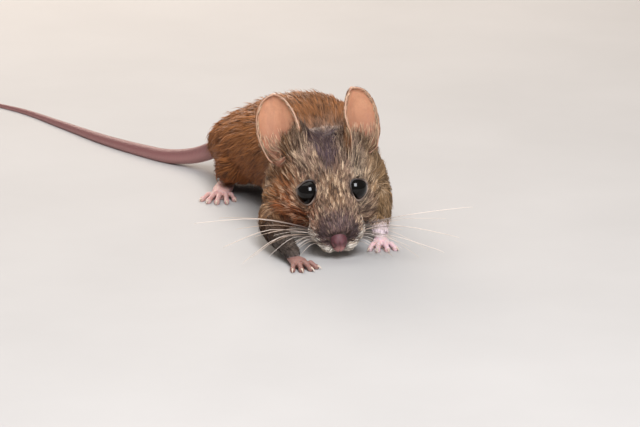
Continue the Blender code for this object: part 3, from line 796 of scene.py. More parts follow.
def fold_mouth(head, normals):
    """Presses in the groove under the nose and the line of the mouth on either side."""
    x, y, z = head.T
    under_nose = smooth_share(-4.9, -5.5, z) * smooth_share(-6.9, -6.2, z) * smooth_share(-8.5, -9.8, y)
    groove = bump_at(x, 0.22) * under_nose * 0.35
    lip = -6.7 - 0.35 * np.cos(np.clip(np.abs(x) / 2.6, 0, 1) * np.pi) + 0.1 * (y + 10.0)
    line = bump_at(z - lip, 0.26) * smooth_share(-3.5, -6.0, y) * smooth_share(4.6, 3.4, np.abs(x)) * 0.5
    return head - normals * (groove + line)[:, None]


def behind_nose(head):
    """Draws the skin in behind the bare nose pad, so that the pad's whole front shows."""
    reach = on_nose_pad(head)
    before = smooth_share(1.34, 1.16, reach) * smooth_share(-8.9, -9.8, head[:, 1])
    drawn = between(reach, np.minimum(reach, 0.8), before)
    return NOSE_MIDDLE + (head - NOSE_MIDDLE) * (drawn / np.maximum(reach, 1e-6))[:, None]


def level_crown(head):
    """Takes the flesh beside the left ear's foot down to the round of the crown."""
    x, y, z = head.T
    beside_ear = smooth_share(2.4, 3.4, x) * smooth_share(5.0, 6.2, y) * smooth_share(14.0, 13.0, y)
    level = 8.2 * np.sqrt(np.maximum(1 - (x / 9.4) ** 2, 0.05)) - 2.3 - coat_depth(placed(HEAD, head))
    lowered = np.where(z > level, level + (z - level) * 0.12, z)
    return np.stack([x, y, between(z, lowered, beside_ear)], axis=1)


def make_skin():
    bm = flesh_copy(FLESH, SEAM_CLOSE)
    for side in SIDES:
        for (x, y, z), radii in MUZZLE_BALLS:
            ball(bm, HEAD @ Vector((x * OUTWARD[side], y, z)), radii, HEAD.to_3x3().to_4x4())
        ball(bm, HEAD @ Vector(eye_middle(side)), (EYE_RADIUS,) * 3)
    skin = blended(object_of(bm, "skin"), SKIN_VOXEL, 8)
    points = points_of(skin.data)
    drawn_in = coat_depth(points) + SEAM_CLOSE * 0.5
    move_points(skin.data, points - normals_of(skin.data) * drawn_in[:, None])
    skin = modified(skin, ("SMOOTH", {"factor": 0.5, "iterations": 3}))
    head = fold_mouth(in_head(points_of(skin.data)), normals_of(skin.data) @ HEAD_TURN)
    points = placed(HEAD, level_crown(behind_nose(open_lids(head))))
    points[:, 2] = np.maximum(points[:, 2], SKIN_LIFT)
    move_points(skin.data, points)
    set_values(skin.data, "markings", markings(points))
    return skin


# ---- Hair ----

HAIR_STEPS = 3  # straight lengths in each tuft
STRAY = 9.0  # degrees that a tuft strays from the coat's flow
CLUMP_SIZE = 10  # tufts for each one that leads a clump
RIBBON_TWIST = 30.0  # degrees that a tuft is twisted about its own length
RIBBON_WIDTHS = (0.8, 1.0, 0.72)  # at each step but the last, where it ends in a point
RIBBON_FACES = ((0, 1, 3, 2), (2, 3, 5, 4), (4, 5, 6))
RIBBON_ACROSS = np.array((0, 1, 0, 1, 0, 1, 0.5))
RIBBON_ALONG = np.array((0, 0, 1, 1, 2, 2, 3)) / HAIR_STEPS
PATCH, MAP_EDGE = 0.003, 0.002  # side of each tuft's patch on the baking map, and the margin round the map


class Ground:
    """A surface in the body's frame that hair grows on."""

    def __init__(self, mesh):
        mesh.calc_loop_triangles()
        triangles = np.empty(len(mesh.loop_triangles) * 3, np.int32)
        mesh.loop_triangles.foreach_get("vertices", triangles)
        self.triangles = triangles.reshape(-1, 3)
        self.points, self.normals = points_of(mesh), normals_of(mesh)
        corners = self.points[self.triangles]
        crossed = np.cross(corners[:, 1] - corners[:, 0], corners[:, 2] - corners[:, 0])
        self.areas = np.linalg.norm(crossed, axis=1) / 2
        self.middles = corners.mean(axis=1)
        self.tree = BVHTree.FromPolygons(self.points.tolist(), self.triangles.tolist())

    def scatter(self, count, density, rng):
        """Places and normals of roots, thicker where density is larger."""
        weights = self.areas * density
        chosen = rng.choice(len(weights), count, p=weights / weights.sum())
        u, v = rng.random((2, count))
        over = u + v > 1
        u[over], v[over] = 1 - u[over], 1 - v[over]
        shares = np.stack([1 - u - v, u, v], axis=1)[:, :, None]
        corners = self.triangles[chosen]
        return (self.points[corners] * shares).sum(1), unit((self.normals[corners] * shares).sum(1))

    def settle(self, points):
        """The nearest places on the surface, and its normals there."""
        found = [self.tree.find_nearest(point)[:2] for point in points.tolist()]
        return np.array([place for place, _ in found]), np.array([normal for _, normal in found])


def laid(directions, normals):
    return unit(directions - (directions * normals).sum(1)[:, None] * normals)


def turned_about(vectors, axes, angles):
    """Each vector turned about its unit axis."""
    c, s = np.cos(angles)[:, None], np.sin(angles)[:, None]
    along = (vectors * axes).sum(1)[:, None] * axes
    return vectors * c + np.cross(axes, vectors) * s + along * (1 - c)


def grown_hairs(ground, roots, normals, length, depth, clump, rng):
    """The hairs' middle lines, (count, steps + 1, 3), the skin's normals along them, and each one's lead."""
    count = len(roots)
    spread = np.radians(rng.normal(0, STRAY, count))
    lines, skins = [roots], [normals]
    here, up = roots, normals
    for step in range(1, HAIR_STEPS + 1):
        ahead = turned_about(laid(coat_flow(here), up), up, spread)
        here, up = ground.settle(here + ahead * (length / HAIR_STEPS)[:, None])
        share = step / HAIR_STEPS
        lines.append(here + up * (depth * (1.5 * share - 0.5 * share * share))[:, None])
        skins.append(up)
    lines, skins = np.stack(lines, axis=1), np.stack(skins, axis=1)
    leads = rng.choice(count, count // CLUMP_SIZE, replace=False)
    tree = KDTree(len(leads))
    for i, root in enumerate(roots[leads].tolist()):
        tree.insert(root, i)
    tree.balance()
    lead = leads[[tree.find(root)[1] for root in roots.tolist()]]
    share = (np.arange(HAIR_STEPS + 1) / HAIR_STEPS)[None, :, None]
    meeting = lines[lead] + (roots - roots[lead])[:, None, :] * 0.35
    return between(lines, meeting, clump[:, None, None] * share**1.5), skins, lead


def ribbons(lines, skins, widths, rng):
    """Points of flat tapered ribbons, two at each step and one at the tip."""
    ahead = unit(np.gradient(lines, axis=1))
    side = unit(np.cross(skins, ahead))
    count, steps = lines.shape[:2]
    angles = np.repeat(np.radians(rng.normal(0, RIBBON_TWIST, count)), steps)
    side = turned_about(side.reshape(-1, 3), ahead.reshape(-1, 3), angles).reshape(count, steps, 3)
    taper = np.array(RIBBON_WIDTHS)[None, :, None] * widths[:, None, None] / 2
    left = lines[:, :-1] - side[:, :-1] * taper
    right = lines[:, :-1] + side[:, :-1] * taper
    pairs = np.stack([left, right], axis=2).reshape(count, -1, 3)
    return np.concatenate([pairs, lines[:, -1:]], axis=1)


def hair_piece(name, ribbon, values, where, material):
    count, per = ribbon.shape[:2]
    starts = np.arange(count)[:, None] * per
    corners = np.concatenate([starts + np.array(face) for face in RIBBON_FACES], axis=1).ravel()
    sizes = np.array([len(face) for face in RIBBON_FACES])
    mesh = bpy.data.meshes.new(name)
    mesh.vertices.add(count * per)
    mesh.loops.add(len(corners))
    mesh.polygons.add(count * len(sizes))
    ends = np.cumsum(np.tile(sizes, count))
    mesh.polygons.foreach_set("loop_start", np.concatenate([[0], ends[:-1]]).astype(np.int32))
    mesh.loops.foreach_set("vertex_index", corners.astype(np.int32))
    move_points(mesh, ribbon.reshape(-1, 3))
    mesh.validate()
    for key, value in values.items():
        set_values(mesh, key, np.repeat(value, per, axis=0))
    set_values(mesh, "along", np.tile(RIBBON_ALONG, count))
    patch = np.stack([RIBBON_ACROSS, RIBBON_ALONG], axis=1) * PATCH
    places = MAP_EDGE + np.clip(where, 0, 1) * (1 - 2 * MAP_EDGE - PATCH)
    spots = (places[:, None, :] + patch[None]).reshape(-1, 2)
    baking = mesh.uv_layers.new(name="OFBake")
    baking.data.foreach_set("uv", spots[corners].astype(np.float32).ravel())
    finished(linked(name, mesh), material, "coat")


def coat_finish(name):
    """Hair that is slate at the root and takes its marking towards the tip, with dark guard hairs among pale.
    Where the marking is white it is pale all the way down."""
    finish = Finish(name)
    marking = finish.attribute("markings", "Color")
    shade, along, white = finish.attribute("shade"), finish.attribute("along"), finish.attribute("white")
    root = finish.mixed(white * 0.82, tint(46, 34, 32), marking)
    tip = finish.scaled(marking, 0.34 + shade * 1.2)
    dark = finish.mixed(0.2 + white * 0.5, root, marking)
    tip = finish.mixed(finish.step(shade, 0.2, 0.46), dark, tip)
    colour = finish.mixed(finish.step(along, -0.25, 0.6), root, tip)
    return finish.surface(Base_Color=colour, Roughness=0.5, Specular_IOR_Level=0.18)


def whiteness(colours):
    """0 for coloured hair and 1 for white, from the marking in linear light."""
    return smooth_share(0.30, 0.60, colours[:, 2])


HEAD_BACK, HEAD_FRONT = 14.0, -12.5  # in the head's frame
TRUNK_FRONT, TRUNK_LENGTH = 5.0, 55.0


def around_body(points):
    """An unwrap of the body: how far round each place is, and how far back from the nose."""
    head = in_head(points)
    off = points[:, (0, 2)] - along_spine(points, SPINE[:, (0, 2)])
    round_body = np.arctan2(off[:, 0], off[:, 1]) / (2 * np.pi) + 0.5
    round_head = np.arctan2(head[:, 0], head[:, 2] + 2.0) / (2 * np.pi) + 0.5
    on_head = head[:, 1] < HEAD_BACK
    head_share = (head[:, 1] - HEAD_FRONT) / (HEAD_BACK - HEAD_FRONT)
    trunk_share = (points[:, 1] - TRUNK_FRONT) / TRUNK_LENGTH
    back = np.where(on_head, head_share * 0.5, 0.5 + trunk_share * 0.5)
    return np.stack([np.where(on_head, round_head, round_body), back], axis=1)


# ---- Coat ----

COAT_PIECES, TUFTS_A_PIECE = 7, 38000
GUARD_SHARE, GUARD_LENGTH, GUARD_DEPTH, GUARD_CLUMP = 0.05, 1.15, 1.65, 0.3
EYE_CLEAR, NOSE_CLEAR = 2.45, 1.9  # how near the middles of the eyes and of the nose pad hair may end
FLOOR_CLEAR = 0.05


def streaks(points):
    """Dark and light streaks, 0 to 1, drawn out along the lie of the coat."""
    head = in_head(points)
    distance = nose_distance(head)
    outward = unit(head - NOSE_TIP) + 0.008 * np.sin(distance * 2.1)[:, None]
    face = outward * 50.0 + distance[:, None] * np.array((0.5, 0.42, 0.46))
    body = np.stack([around_body(points)[:, 0] * 120.0, points[:, 1] * 0.35, np.zeros(len(points))], axis=1)
    fields = np.where(on_trunk(head)[:, None] < 0.5, face, body)
    return np.clip(0.5 + 1.7 * np.array([noise(Vector(field)) for field in fields.tolist()]), 0, 1)


def coat_density(points):
    """How thickly the coat grows, with none on the eyes and the nose pad."""
    head = in_head(points)
    density = between(5.0, 1.0, smooth_share(10.0, 24.0, head[:, 1]))
    density *= between(1.8, 1.0, smooth_share(3.0, 9.0, nose_distance(head)))
    density = between(density, 2.0, on_limbs(points)[0])
    for side in SIDES:
        distance, angle, around = about_eye(head, side)
        density *= (distance > 3.2) | (angle > lid_angle(side, around) + 4.0)
    return density * (on_nose_pad(head) > NOSE_BARE)


def clear_of_bare(roots, length, flow):
    """Shortens hairs that would run over an eye or the nose pad."""
    head = in_head(roots)
    heading = flow @ HEAD_TURN
    bare = [(eye_middle(side), EYE_CLEAR) for side in SIDES] + [(NOSE_MIDDLE, NOSE_CLEAR)]
    for middle, margin in bare:
        off = head - middle
        distance = np.linalg.norm(off, axis=1)
        into = -(unit(off) * heading).sum(1)
        room = np.where(into > 0.1, (distance - margin) / np.maximum(into, 0.1), 1e9)
        length = np.where(distance < 8, np.minimum(length, np.maximum(room, 0.4)), length)
    return length


def coat_colours(roots, kind, rng):
    """Each tuft's marking, a little strayed, with dark and cream ones among the coloured."""
    trunk = on_trunk(in_head(roots))
    colours = markings(roots + rng.normal(0, 1, roots.shape) * between(0.35, 0.8, trunk)[:, None])
    white = whiteness(colours)
    coloured = (1 - white) * between(1.0, 0.2, trunk) * (1 - 0.7 * on_limbs(roots)[0])
    colours = laid_over(colours, coloured * (kind < 0.25) * 0.75, HAIR_DARK)
    pale = coloured * smooth_share(0.07, 0.17, colours.mean(1))
    pale = pale * smooth_share(10.5, 8.5, in_head(roots)[:, 1])
    return laid_over(colours, pale * (kind > 0.8) * 0.55, HAIR_CREAM), white


def make_coat(ground):
    rng = np.random.default_rng(7)
    count = COAT_PIECES * TUFTS_A_PIECE
    roots, normals = ground.scatter(count, coat_density(ground.middles), rng)
    trunk = on_trunk(in_head(roots))
    length = coat_length(roots) * rng.uniform(0.72, 1.25, count)
    length = clear_of_bare(roots, length, laid(coat_flow(roots), normals))
    streak = streaks(roots)
    depth = coat_depth(roots) * rng.uniform(0.35, 0.95, count)
    depth = depth * (0.6 + 0.6 * streak) * np.clip(length / 1.5, 0.3, 1)
    guard = rng.random(count) < GUARD_SHARE
    length = length * np.where(guard, GUARD_LENGTH, 1.0)
    depth = depth * np.where(guard, GUARD_DEPTH, 1.0)
    clump = between(0.74, 0.45, trunk) * np.where(guard, GUARD_CLUMP, 1.0)
    lines, skins, lead = grown_hairs(ground, roots, normals, length, depth, clump, rng)
    lines[:, :, 2] = np.maximum(lines[:, :, 2], FLOOR_CLEAR)
    widths = between(0.11, 0.17, trunk) * rng.uniform(0.7, 1.3, count)
    ribbon = ribbons(lines, skins, widths, rng)
    kind = rng.random(count)[lead]
    shared = between(0.36, 0.22, trunk)
    shade = 0.36 * streak + shared * rng.random(count)[lead] + (0.64 - shared) * rng.random(count)
    colours, white = coat_colours(roots, kind, rng)
    where = around_body(roots)
    finish = coat_finish("coat_hair")
    for i in range(COAT_PIECES):
        part = slice(i, None, COAT_PIECES)
        values = {"markings": colours[part], "shade": shade[part], "white": white[part]}
        hair_piece(f"coat_{i + 1}", ribbon[part], values, where[part], finish)


# ---- Eyes and lids ----


def eye_finish():
    finish = Finish("eye_gloss")
    colour = finish.mottled(1.2, 2.0, (0.002, 0.002, 0.002), (0.006, 0.004, 0.003))
    return finish.surface(Base_Color=colour, Roughness=0.03, IOR=1.36)


def lid_finish():
    """Dark bare lids with a painted highlight on the wet edge below and at the upper outer side."""
    finish = Finish("lid_skin")
    colour = finish.mottled(3.0, 3.0, tint(26, 20, 20), tint(54, 40, 36))
    colour = finish.mixed(finish.attribute("lid_highlight"), colour, tint(196, 170, 154))
    return finish.surface(Base_Color=colour, Roughness=0.35, Normal=finish.bump(finish.noise(5.0), 0.5, 0.08))


def make_lid(side, material):
    """A soft rim round the eye, spun about its axis and then fitted to the lids' opening."""
    bm = bmesh.new()
    section = Matrix.Translation((0, 0, 1)) @ Matrix.Rotation(math.pi / 2, 4, "Y")
    circle = bmesh.ops.create_circle(bm, segments=10, radius=LID_RADIUS, matrix=section)["verts"]
    for vert in circle:
        vert.co = Vector((EYE_RADIUS + 0.08 + vert.co.y, 0, vert.co.z - 1))
    edges = list({edge for vert in circle for edge in vert.link_edges})
    bmesh.ops.spin(bm, geom=circle + edges, cent=(0, 0, 0), axis=(0, 0, 1), angle=2 * math.pi, steps=90,
                   use_merge=True, dvec=(0, 0, 0))
    bmesh.ops.remove_doubles(bm, verts=bm.verts, dist=0.001)
    lid = object_of(faced_out(bm), f"eyelid_{side}")
    x, y, depth = points_of(lid.data).T
    around, reach = np.arctan2(y, x), np.hypot(x, y)
    angle = np.radians(lid_angle(side, around) + 4.0) + (-depth) / EYE_RADIUS
    up, towards_nose = eye_sides(side)
    out = np.cos(around)[:, None] * towards_nose + np.sin(around)[:, None] * up
    turn = np.cos(angle)[:, None] * np.array(eye_axis(side)) + np.sin(angle)[:, None] * out
    move_points(lid.data, placed(HEAD, eye_middle(side) + reach[:, None] * turn))
    # Painted highlight: a pale line along the wet lower edge and a streak at the upper outer side.
    front = smooth_share(0.02, 0.1, depth)
    painted_highlight = np.maximum(front * smooth_share(0.3, -0.3, np.sin(around)), front * bump_at(around - 2.6, 0.5))
    set_values(lid.data, "lid_highlight", painted_highlight * 0.65)
    refaced(lid.data)
    finished(lid, material, "bare_skin")


def make_eyes():
    gloss, lid = eye_finish(), lid_finish()
    for side in SIDES:
        bm = bmesh.new()
        turn = eye_axis(side).to_track_quat("Z", "Y").to_matrix().to_4x4()
        ball(bm, eye_middle(side), (EYE_RADIUS,) * 3, turn, around=64, along=40)
        bmesh.ops.transform(bm, matrix=HEAD, verts=bm.verts)
        finished(object_of(bm, f"eyeball_{side}"), gloss, "eye", f"eye_{side}")
        make_lid(side, lid)


# ---- Nose ----


def nose_finish():
    finish = Finish("nose_leather")
    colour = finish.mottled(1.1, 3.0, tint(70, 38, 42), tint(118, 70, 74))
    # Painted shade: the nostrils and the groove under the nose are darkened.
    colour = finish.mixed(finish.attribute("hollow"), colour, tint(58, 26, 28))
    colour = finish.mixed(finish.attribute("tip"), colour, tint(204, 146, 140))
    grain = finish.node("ShaderNodeTexVoronoi", None, {"Vector": finish.places(), "Scale": 6.0 / MM})
    return finish.surface(Base_Color=colour, Roughness=0.55, Subsurface_Weight=0.15,
                          Subsurface_Scale=0.4 * MM, Normal=finish.bump(grain, 0.6, 0.07))


def make_nose():
    bm = bmesh.new()
    ball(bm, (0, 0, 0), NOSE_RADII, around=96, along=72)
    nose = object_of(bm, "nose_pad")
    points = points_of(nose.data)
    x, y, z = points.T
    aside = np.abs(x)
    normals = unit(points / NOSE_RADII**2)
    front = smooth_share(0.3, -0.4, y / NOSE_RADII[1])
    groove = bump_at(x, 0.14) * smooth_share(1.2, 0.2, z) * front
    nostril = bump_at(np.hypot((aside - 0.98 - 0.2 * z) / 0.22, (z - 0.1) / 0.55), 1.0)
    slit = bump_at(z + 0.42 + 0.35 * (aside - 1.0), 0.16) * smooth_share(0.8, 1.1, aside)
    hollow = np.maximum(groove * 0.5, np.maximum(nostril, slit * 0.8) * front)
    lobes = bump_at(np.hypot(aside - 0.62, z - 0.75), 0.6) * front * 0.16
    shaped = points + normals * (lobes - hollow * 0.42)[:, None]
    shaped[:, 0] = shaped[:, 0] * between(0.86, 1.02, (z / NOSE_RADII[2] + 1) / 2)
    move_points(nose.data, placed(HEAD, shaped + NOSE_MIDDLE))
    # The dents' depth also sets the painted shade in the nostrils and the groove.
    set_values(nose.data, "hollow", np.clip(hollow, 0, 1) * 0.8)
    set_values(nose.data, "tip", smooth_share(0.7, -0.9, z) * front * smooth_share(1.5, 0.5, aside) * 0.85)
    finished(nose, nose_finish(), "bare_skin", "nose")


# ---- Ears ----

EAR_TAN, EAR_DEEP, EAR_RED = tint(202, 146, 112), tint(178, 122, 92), tint(150, 98, 78)
# The last is a painted highlight for the ear's thin rim.
EAR_BACK, EAR_RIM_HIGHLIGHT = tint(104, 72, 56), tint(190, 148, 122)
EAR_CELLS = 56  # of the grid that each ear is bent from, each way
HOLLOW_DEPTH = 2.4  # from the ear's sheet to the line up its hollow that tells its front from its back
EAR_BASE_HAIRS, EAR_BASE_LENGTHS, EAR_BASE_WIDTHS = 4200, (1.1, 3.3), (0.08, 0.15)
EAR_BASE_TOP = 0.36  # share of the ear's length up to which they grow
EAR_HAIR_BROWN, EAR_HAIR_DARK = tint(150, 104, 72), tint(118, 84, 62)
EAR_HAIR_PALE, EAR_HAIR_CREAM = tint(232, 200, 168), tint(226, 196, 160)
# Hairs on the ear's back, face 1, and in its hollow, face -1: how many, how far up the ear, their lengths at
# its root and tip, how far they stand off it, and how closely they keep to its root.
EAR_HAIRS = {
    "back": (1, 5200, 0.94, (2.2, 0.6), 0.28, 1.5),
    "hollow": (-1, 900, 0.38, (1.7, 0.6), 0.45, 2.2),
}


def ear_sheet(side, u, share):
    """Points of the ear's middle sheet in the body's frame; u is -1 at its front edge and 1 at its back."""
    root, lean_out, lean_back, turn, rolls = EARS[side]
    outward = OUTWARD[side]
    above = np.clip((share - EAR_WIDEST) / (1 - EAR_WIDEST), 0, 1)
    rising = between(EAR_ROOT_SHARE, 1.0, np.sin(np.clip(share / EAR_WIDEST, 0, 1) * np.pi / 2))
    wide = np.where(above > 0, np.maximum(1 - above**2.4, 0) ** (1 / 2.2), rising)
    before = np.interp(share, EAR_ROLL_SHARES, rolls)
    angle = np.radians(u * np.where(u > 0, between(EAR_ROOT_ARC, EAR_TIP_ARC, share), before))
    near_root = (1 - share) ** 2
    forward = EAR_DEPTH * (1 + wide) / 2 * (1 - np.cos(angle)) + EAR_ROOT_FORWARD * near_root
    across = EAR_WIDTH / 2 * wide * np.sin(angle) - EAR_ROOT_INWARD * near_root
    sheet = np.stack([outward * across, -(forward - EAR_TIP_BACK * share**2), share * EAR_LENGTH], axis=-1)
    lean = turned(pitch=-lean_back, roll=lean_out * outward)
    return placed(HEAD @ Matrix.Translation(root) @ lean @ turned(yaw=turn * outward), sheet)


def ear_backs(side, u, share):
    """Unit vectors out of the back of the ear, away from its hollow."""
    step = 0.01
    along_u = ear_sheet(side, u + step, share) - ear_sheet(side, u - step, share)
    along_share = ear_sheet(side, u, share + step) - ear_sheet(side, u, share - step)
    return unit(np.cross(along_share, along_u)) * OUTWARD[side]


def ear_finish():
    finish = Finish("ear_leather")
    share, edge, back = finish.attribute("share"), finish.attribute("edge"), finish.attribute("back")
    blotch, grain = finish.noise(0.45, 4.0, 0.6), finish.noise(3.2, 3.0)
    veins = finish.noise(0.55, 2.0, stretch=(1.0, 1.0, 0.25))
    colour = finish.mixed(finish.step(share, 0.1, 0.8), EAR_RED, EAR_TAN)
    layers = (
        (finish.step(blotch, 0.4, 0.7) * 0.7, EAR_DEEP),
        (finish.step(veins, 0.56, 0.62) * 0.18, EAR_RED),
        (finish.step(grain, 0.35, 0.7) * 0.3, EAR_DEEP),
        (finish.step(edge, 0.9, 0.965) * 0.45, EAR_BACK),
        (back, EAR_BACK),
        # painted highlight along the ear's thin rim
        (finish.step(edge, 0.984, 0.998), EAR_RIM_HIGHLIGHT),
    )
    for mask, over in layers:
        colour = finish.mixed(mask, colour, over)
    bump = finish.bump(finish.noise(4.0, 4.0), 0.35, 0.08)
    return finish.surface(Base_Color=colour, Roughness=0.6, Subsurface_Weight=0.12,
                          Subsurface_Scale=0.6 * MM, Normal=bump)


def ear_share(row):
    """Share of the ear's length for a row from -1 at the root to 1 at the tip, rows closing up at the tip."""
    return np.sin((row + 1) / 2 * np.pi / 2) ** 1.15


def tucked_in(ground, points, u, share):
    """Draws the foot of the ear down under the skin of the head, further up at its rolled front edge."""
    points = points.copy()
    top = between(0.12, 0.27, smooth_share(1.0, 0.72, u)) + 0.25 * smooth_share(-0.1, -0.8, u)
    low = np.flatnonzero(share < top)
    skin, normals = ground.settle(points[low])
    off = ((points[low] - skin) * normals).sum(1)
    sunk = np.maximum(off + 0.35, 0) * smooth_share(top[low], top[low] * 0.4, share[low])
    points[low] -= normals * sunk[:, None]
    return points


def make_ears(ground):
    material = ear_finish()
    for side in SIDES:
        bm = bmesh.new()
        bmesh.ops.create_grid(bm, x_segments=EAR_CELLS, y_segments=EAR_CELLS, size=1.0)
        ear = object_of(bm, f"ear_shell_{side}")
        grid = points_of(ear.data)
        u, share = grid[:, 0], ear_share(grid[:, 1])
        move_points(ear.data, tucked_in(ground, ear_sheet(side, u, share), u, share))
        set_values(ear.data, "share", share)
        set_values(ear.data, "edge", np.maximum(np.abs(u), np.clip((share - 0.6) / 0.4, 0, 1)))
        ear = modified(
            ear,
            ("WELD", {"merge_threshold": 0.004}),
            ("SOLIDIFY", {"thickness": EAR_THICK, "offset": 0.0}),
            ("BEVEL", {"width": 0.08, "segments": 2, "limit_method": "ANGLE"}),
        )
        refaced(ear.data)
        points, normals = points_of(ear.data), normals_of(ear.data)
        rows = np.linspace(0, 1, 40)
        middle = np.zeros(len(rows))
        line = ear_sheet(side, middle, rows) - ear_backs(side, middle, rows) * HOLLOW_DEPTH
        share_here = np.array([value.value for value in ear.data.attributes["share"].data])
        inward = np.stack([np.interp(share_here, rows, row) for row in line.T], axis=1) - points
        set_values(ear.data, "back", smooth_share(0.15, -0.15, (unit(inward) * normals).sum(1)))
        finished(ear, material, "ear_skin", f"ear_{side}")


def make_ear_base_hair(ground):
    """Longer hairs that rise off the head all round the foot of each ear and overlap it."""
    rng = np.random.default_rng(13)
    finish = coat_finish("ear_base_hair")
    count = EAR_BASE_HAIRS
    up = np.array(HEAD.to_3x3() @ Vector((0, 0.12, 1)))
    shares = np.linspace(0, 1, HAIR_STEPS + 1)[None]
    for side in SIDES:
        u, share = (grid.ravel() for grid in np.meshgrid(np.linspace(-1, 1, 60), np.linspace(0.0, 0.5, 40)))
        sheet = ear_sheet(side, u, share)
        skin, normals = ground.settle(sheet)
        off = ((sheet - skin) * normals).sum(1)
        foot = skin[(off > -0.4) & (off < 1.1) & (share < EAR_BASE_TOP)]
        chosen = foot[rng.integers(0, len(foot), count)]
        roots, normals = ground.settle(chosen + rng.normal(0, 0.75, (count, 3)))
        length = rng.uniform(*EAR_BASE_LENGTHS, count)[:, None]
        lean = laid(coat_flow(roots), normals) * 0.7 + up * 0.8 + normals * 0.3
        lean = unit(lean + rng.normal(0, 0.2, roots.shape))
        lines = roots[:, None] + lean[:, None] * (length * shares)[:, :, None]
        lines += up * (0.25 * length * shares**2)[:, :, None]
        skins = np.repeat(normals[:, None], HAIR_STEPS + 1, axis=1)
        ribbon = ribbons(lines, skins, rng.uniform(*EAR_BASE_WIDTHS, count), rng)
        colours = markings(roots + rng.normal(0, 0.5, roots.shape))
        kind = rng.random(count)
        colours = laid_over(colours, (kind < 0.25) * 0.7, HAIR_DARK)
        colours = laid_over(colours, (kind > 0.7) * 0.6, HAIR_CREAM)
        values = {"markings": colours, "shade": rng.uniform(0.1, 0.95, count), "white": np.zeros(count)}
        hair_piece(f"ear_base_hair_{side}", ribbon, values, around_body(roots), finish)


def ear_hair_lines(ground, side, u, share, length, lift, face):
    """Middle lines of hairs that lie up the ear on its back, face 1, or in its hollow, face -1."""
    lines, skins = [], []
    for step in range(HAIR_STEPS + 1):
        part = step / HAIR_STEPS
        at_share = np.clip(share + length / EAR_LENGTH * part, 0, 0.995)
        at_u = np.clip(u * (1 + 0.05 * part), -1, 1)
        out = ear_backs(side, at_u, at_share) * face
        sheet = tucked_in(ground, ear_sheet(side, at_u, at_share), at_u, at_share)
        lines.append(sheet + out * (EAR_THICK / 2 + lift * part)[:, None])
        skins.append(out)
    return np.stack(lines, axis=1), np.stack(skins, axis=1)


def ear_hair_places(face, count, reach, keeping, rng):
    """Where the hairs of one face of an ear grow; in the hollow some of them line its edge."""
    u = rng.uniform(-1, 1, count)
    share = rng.random(count) ** keeping * reach
    if face > 0:
        return u, np.maximum(share, 0.22)
    at_edge = rng.random(count) < 0.35
    u = np.where(at_edge, np.sign(u) * rng.uniform(0.86, 0.99, count), u)
    return u, np.where(at_edge, rng.uniform(0.1, 0.93, count), share + 0.03)


def make_ear_hair(ground):
    """Fine hair that lies up the back of each ear, in the foot of its hollow and along its edge."""
    rng = np.random.default_rng(11)
    finish = coat_finish("ear_hair")
    sway = np.linspace(0, 1, HAIR_STEPS + 1)[None, :, None]
    for side in SIDES:
        for place, (face, count, reach, lengths, stand, keeping) in EAR_HAIRS.items():
            u, share = ear_hair_places(face, count, reach, keeping, rng)
            length = between(*lengths, share) * rng.uniform(0.7, 1.25, count)
            lift = stand * length / 2 * rng.uniform(0.5, 1.4, count)
            lines, skins = ear_hair_lines(ground, side, u, share, length, lift, face)
            lines += rng.normal(0, 0.05, (count, 1, 3)) * sway
            ribbon = ribbons(lines, skins, rng.uniform(0.06, 0.11, count), rng)
            pale = smooth_share(0.0, 0.4, share) * 0.8 * (face < 0)
            colours = painted(
                EAR_HAIR_BROWN, count,
                (smooth_share(0.45, 0.1, share), EAR_HAIR_DARK),
                (pale, EAR_HAIR_PALE),
                ((rng.random(count) < 0.2) * 0.8, EAR_HAIR_CREAM),
            )
            values = {"markings": colours, "shade": 0.25 + 0.6 * rng.random(count), "white": np.zeros(count)}
            where = np.stack([(u + 1) / 2, share], axis=1)
            hair_piece(f"ear_hair_{place}_{side}", ribbon, values, where, finish)


# ---- Paws ----

# Each toe's spread in degrees, its length and its radius; the hind ones are a left foot's, inner one first.
FORE_TOES = ((-30, 2.1, 0.56), (-11, 2.7, 0.6), (10, 2.7, 0.6), (32, 2.2, 0.56))
HIND_TOES = ((-30, 3.0, 0.55), (-13, 5.0, 0.6), (0, 5.4, 0.62), (12, 5.0, 0.6), (27, 3.8, 0.55))
# Length, width and height of each palm, and its width at its four knots as a share of the whole.
FORE_PALM, HIND_PALM = (3.4, 3.7, 2.1), (13.4, 4.4, 2.5)
PALM_SHARES = (0.30, 0.38, 0.47, 0.40)
PAW_VOXEL = 0.13
# The darker and lighter tones mottled together in each kind of bare skin; the second kind is the pink paw
# skin darkened with painted shade, for the right forepaw in shadow.
PAW_TINTS = {
    "paw_skin": (tint(212, 168, 166), tint(234, 206, 210)),
    "painted_shade_paw_skin": (tint(124, 88, 78), tint(160, 118, 108)),
    "hind_paw_skin": (tint(184, 136, 126), tint(216, 178, 172)),
}


def paw_finish(name):
    finish = Finish(name)
    colour = finish.mottled(0.9, 3.0, *PAW_TINTS[name])
    creases = finish.node("ShaderNodeTexVoronoi", {"feature": "DISTANCE_TO_EDGE"},
                          {"Vector": finish.places(), "Scale": 2.6 / MM})
    bump = finish.bump(finish.step(creases, 0.0, 0.25), 0.5, 0.06)
    return finish.surface(Base_Color=colour, Roughness=0.5, Subsurface_Weight=0.2,
                          Subsurface_Scale=0.5 * MM, Normal=bump)


def claw_finish():
    finish = Finish("claw_horn")
    colour = finish.mottled(1.5, 3.0, tint(196, 172, 150), tint(226, 208, 190))
    return finish.surface(Base_Color=colour, Roughness=0.3)


def limb_tube(bm, joints, sides=16, steps=4):
    """A round tapered tube through joints of (place, radius), with domed ends."""
    middles = smoothed([place for place, _ in joints], steps)
    radii = [v.x for v in smoothed([(radius, 0, 0) for _, radius in joints], steps)]
    tube(bm, middles, radii, sides)
    for place, radius in (joints[0], joints[-1]):
        ball(bm, place, (radius,) * 3, around=sides, along=10)


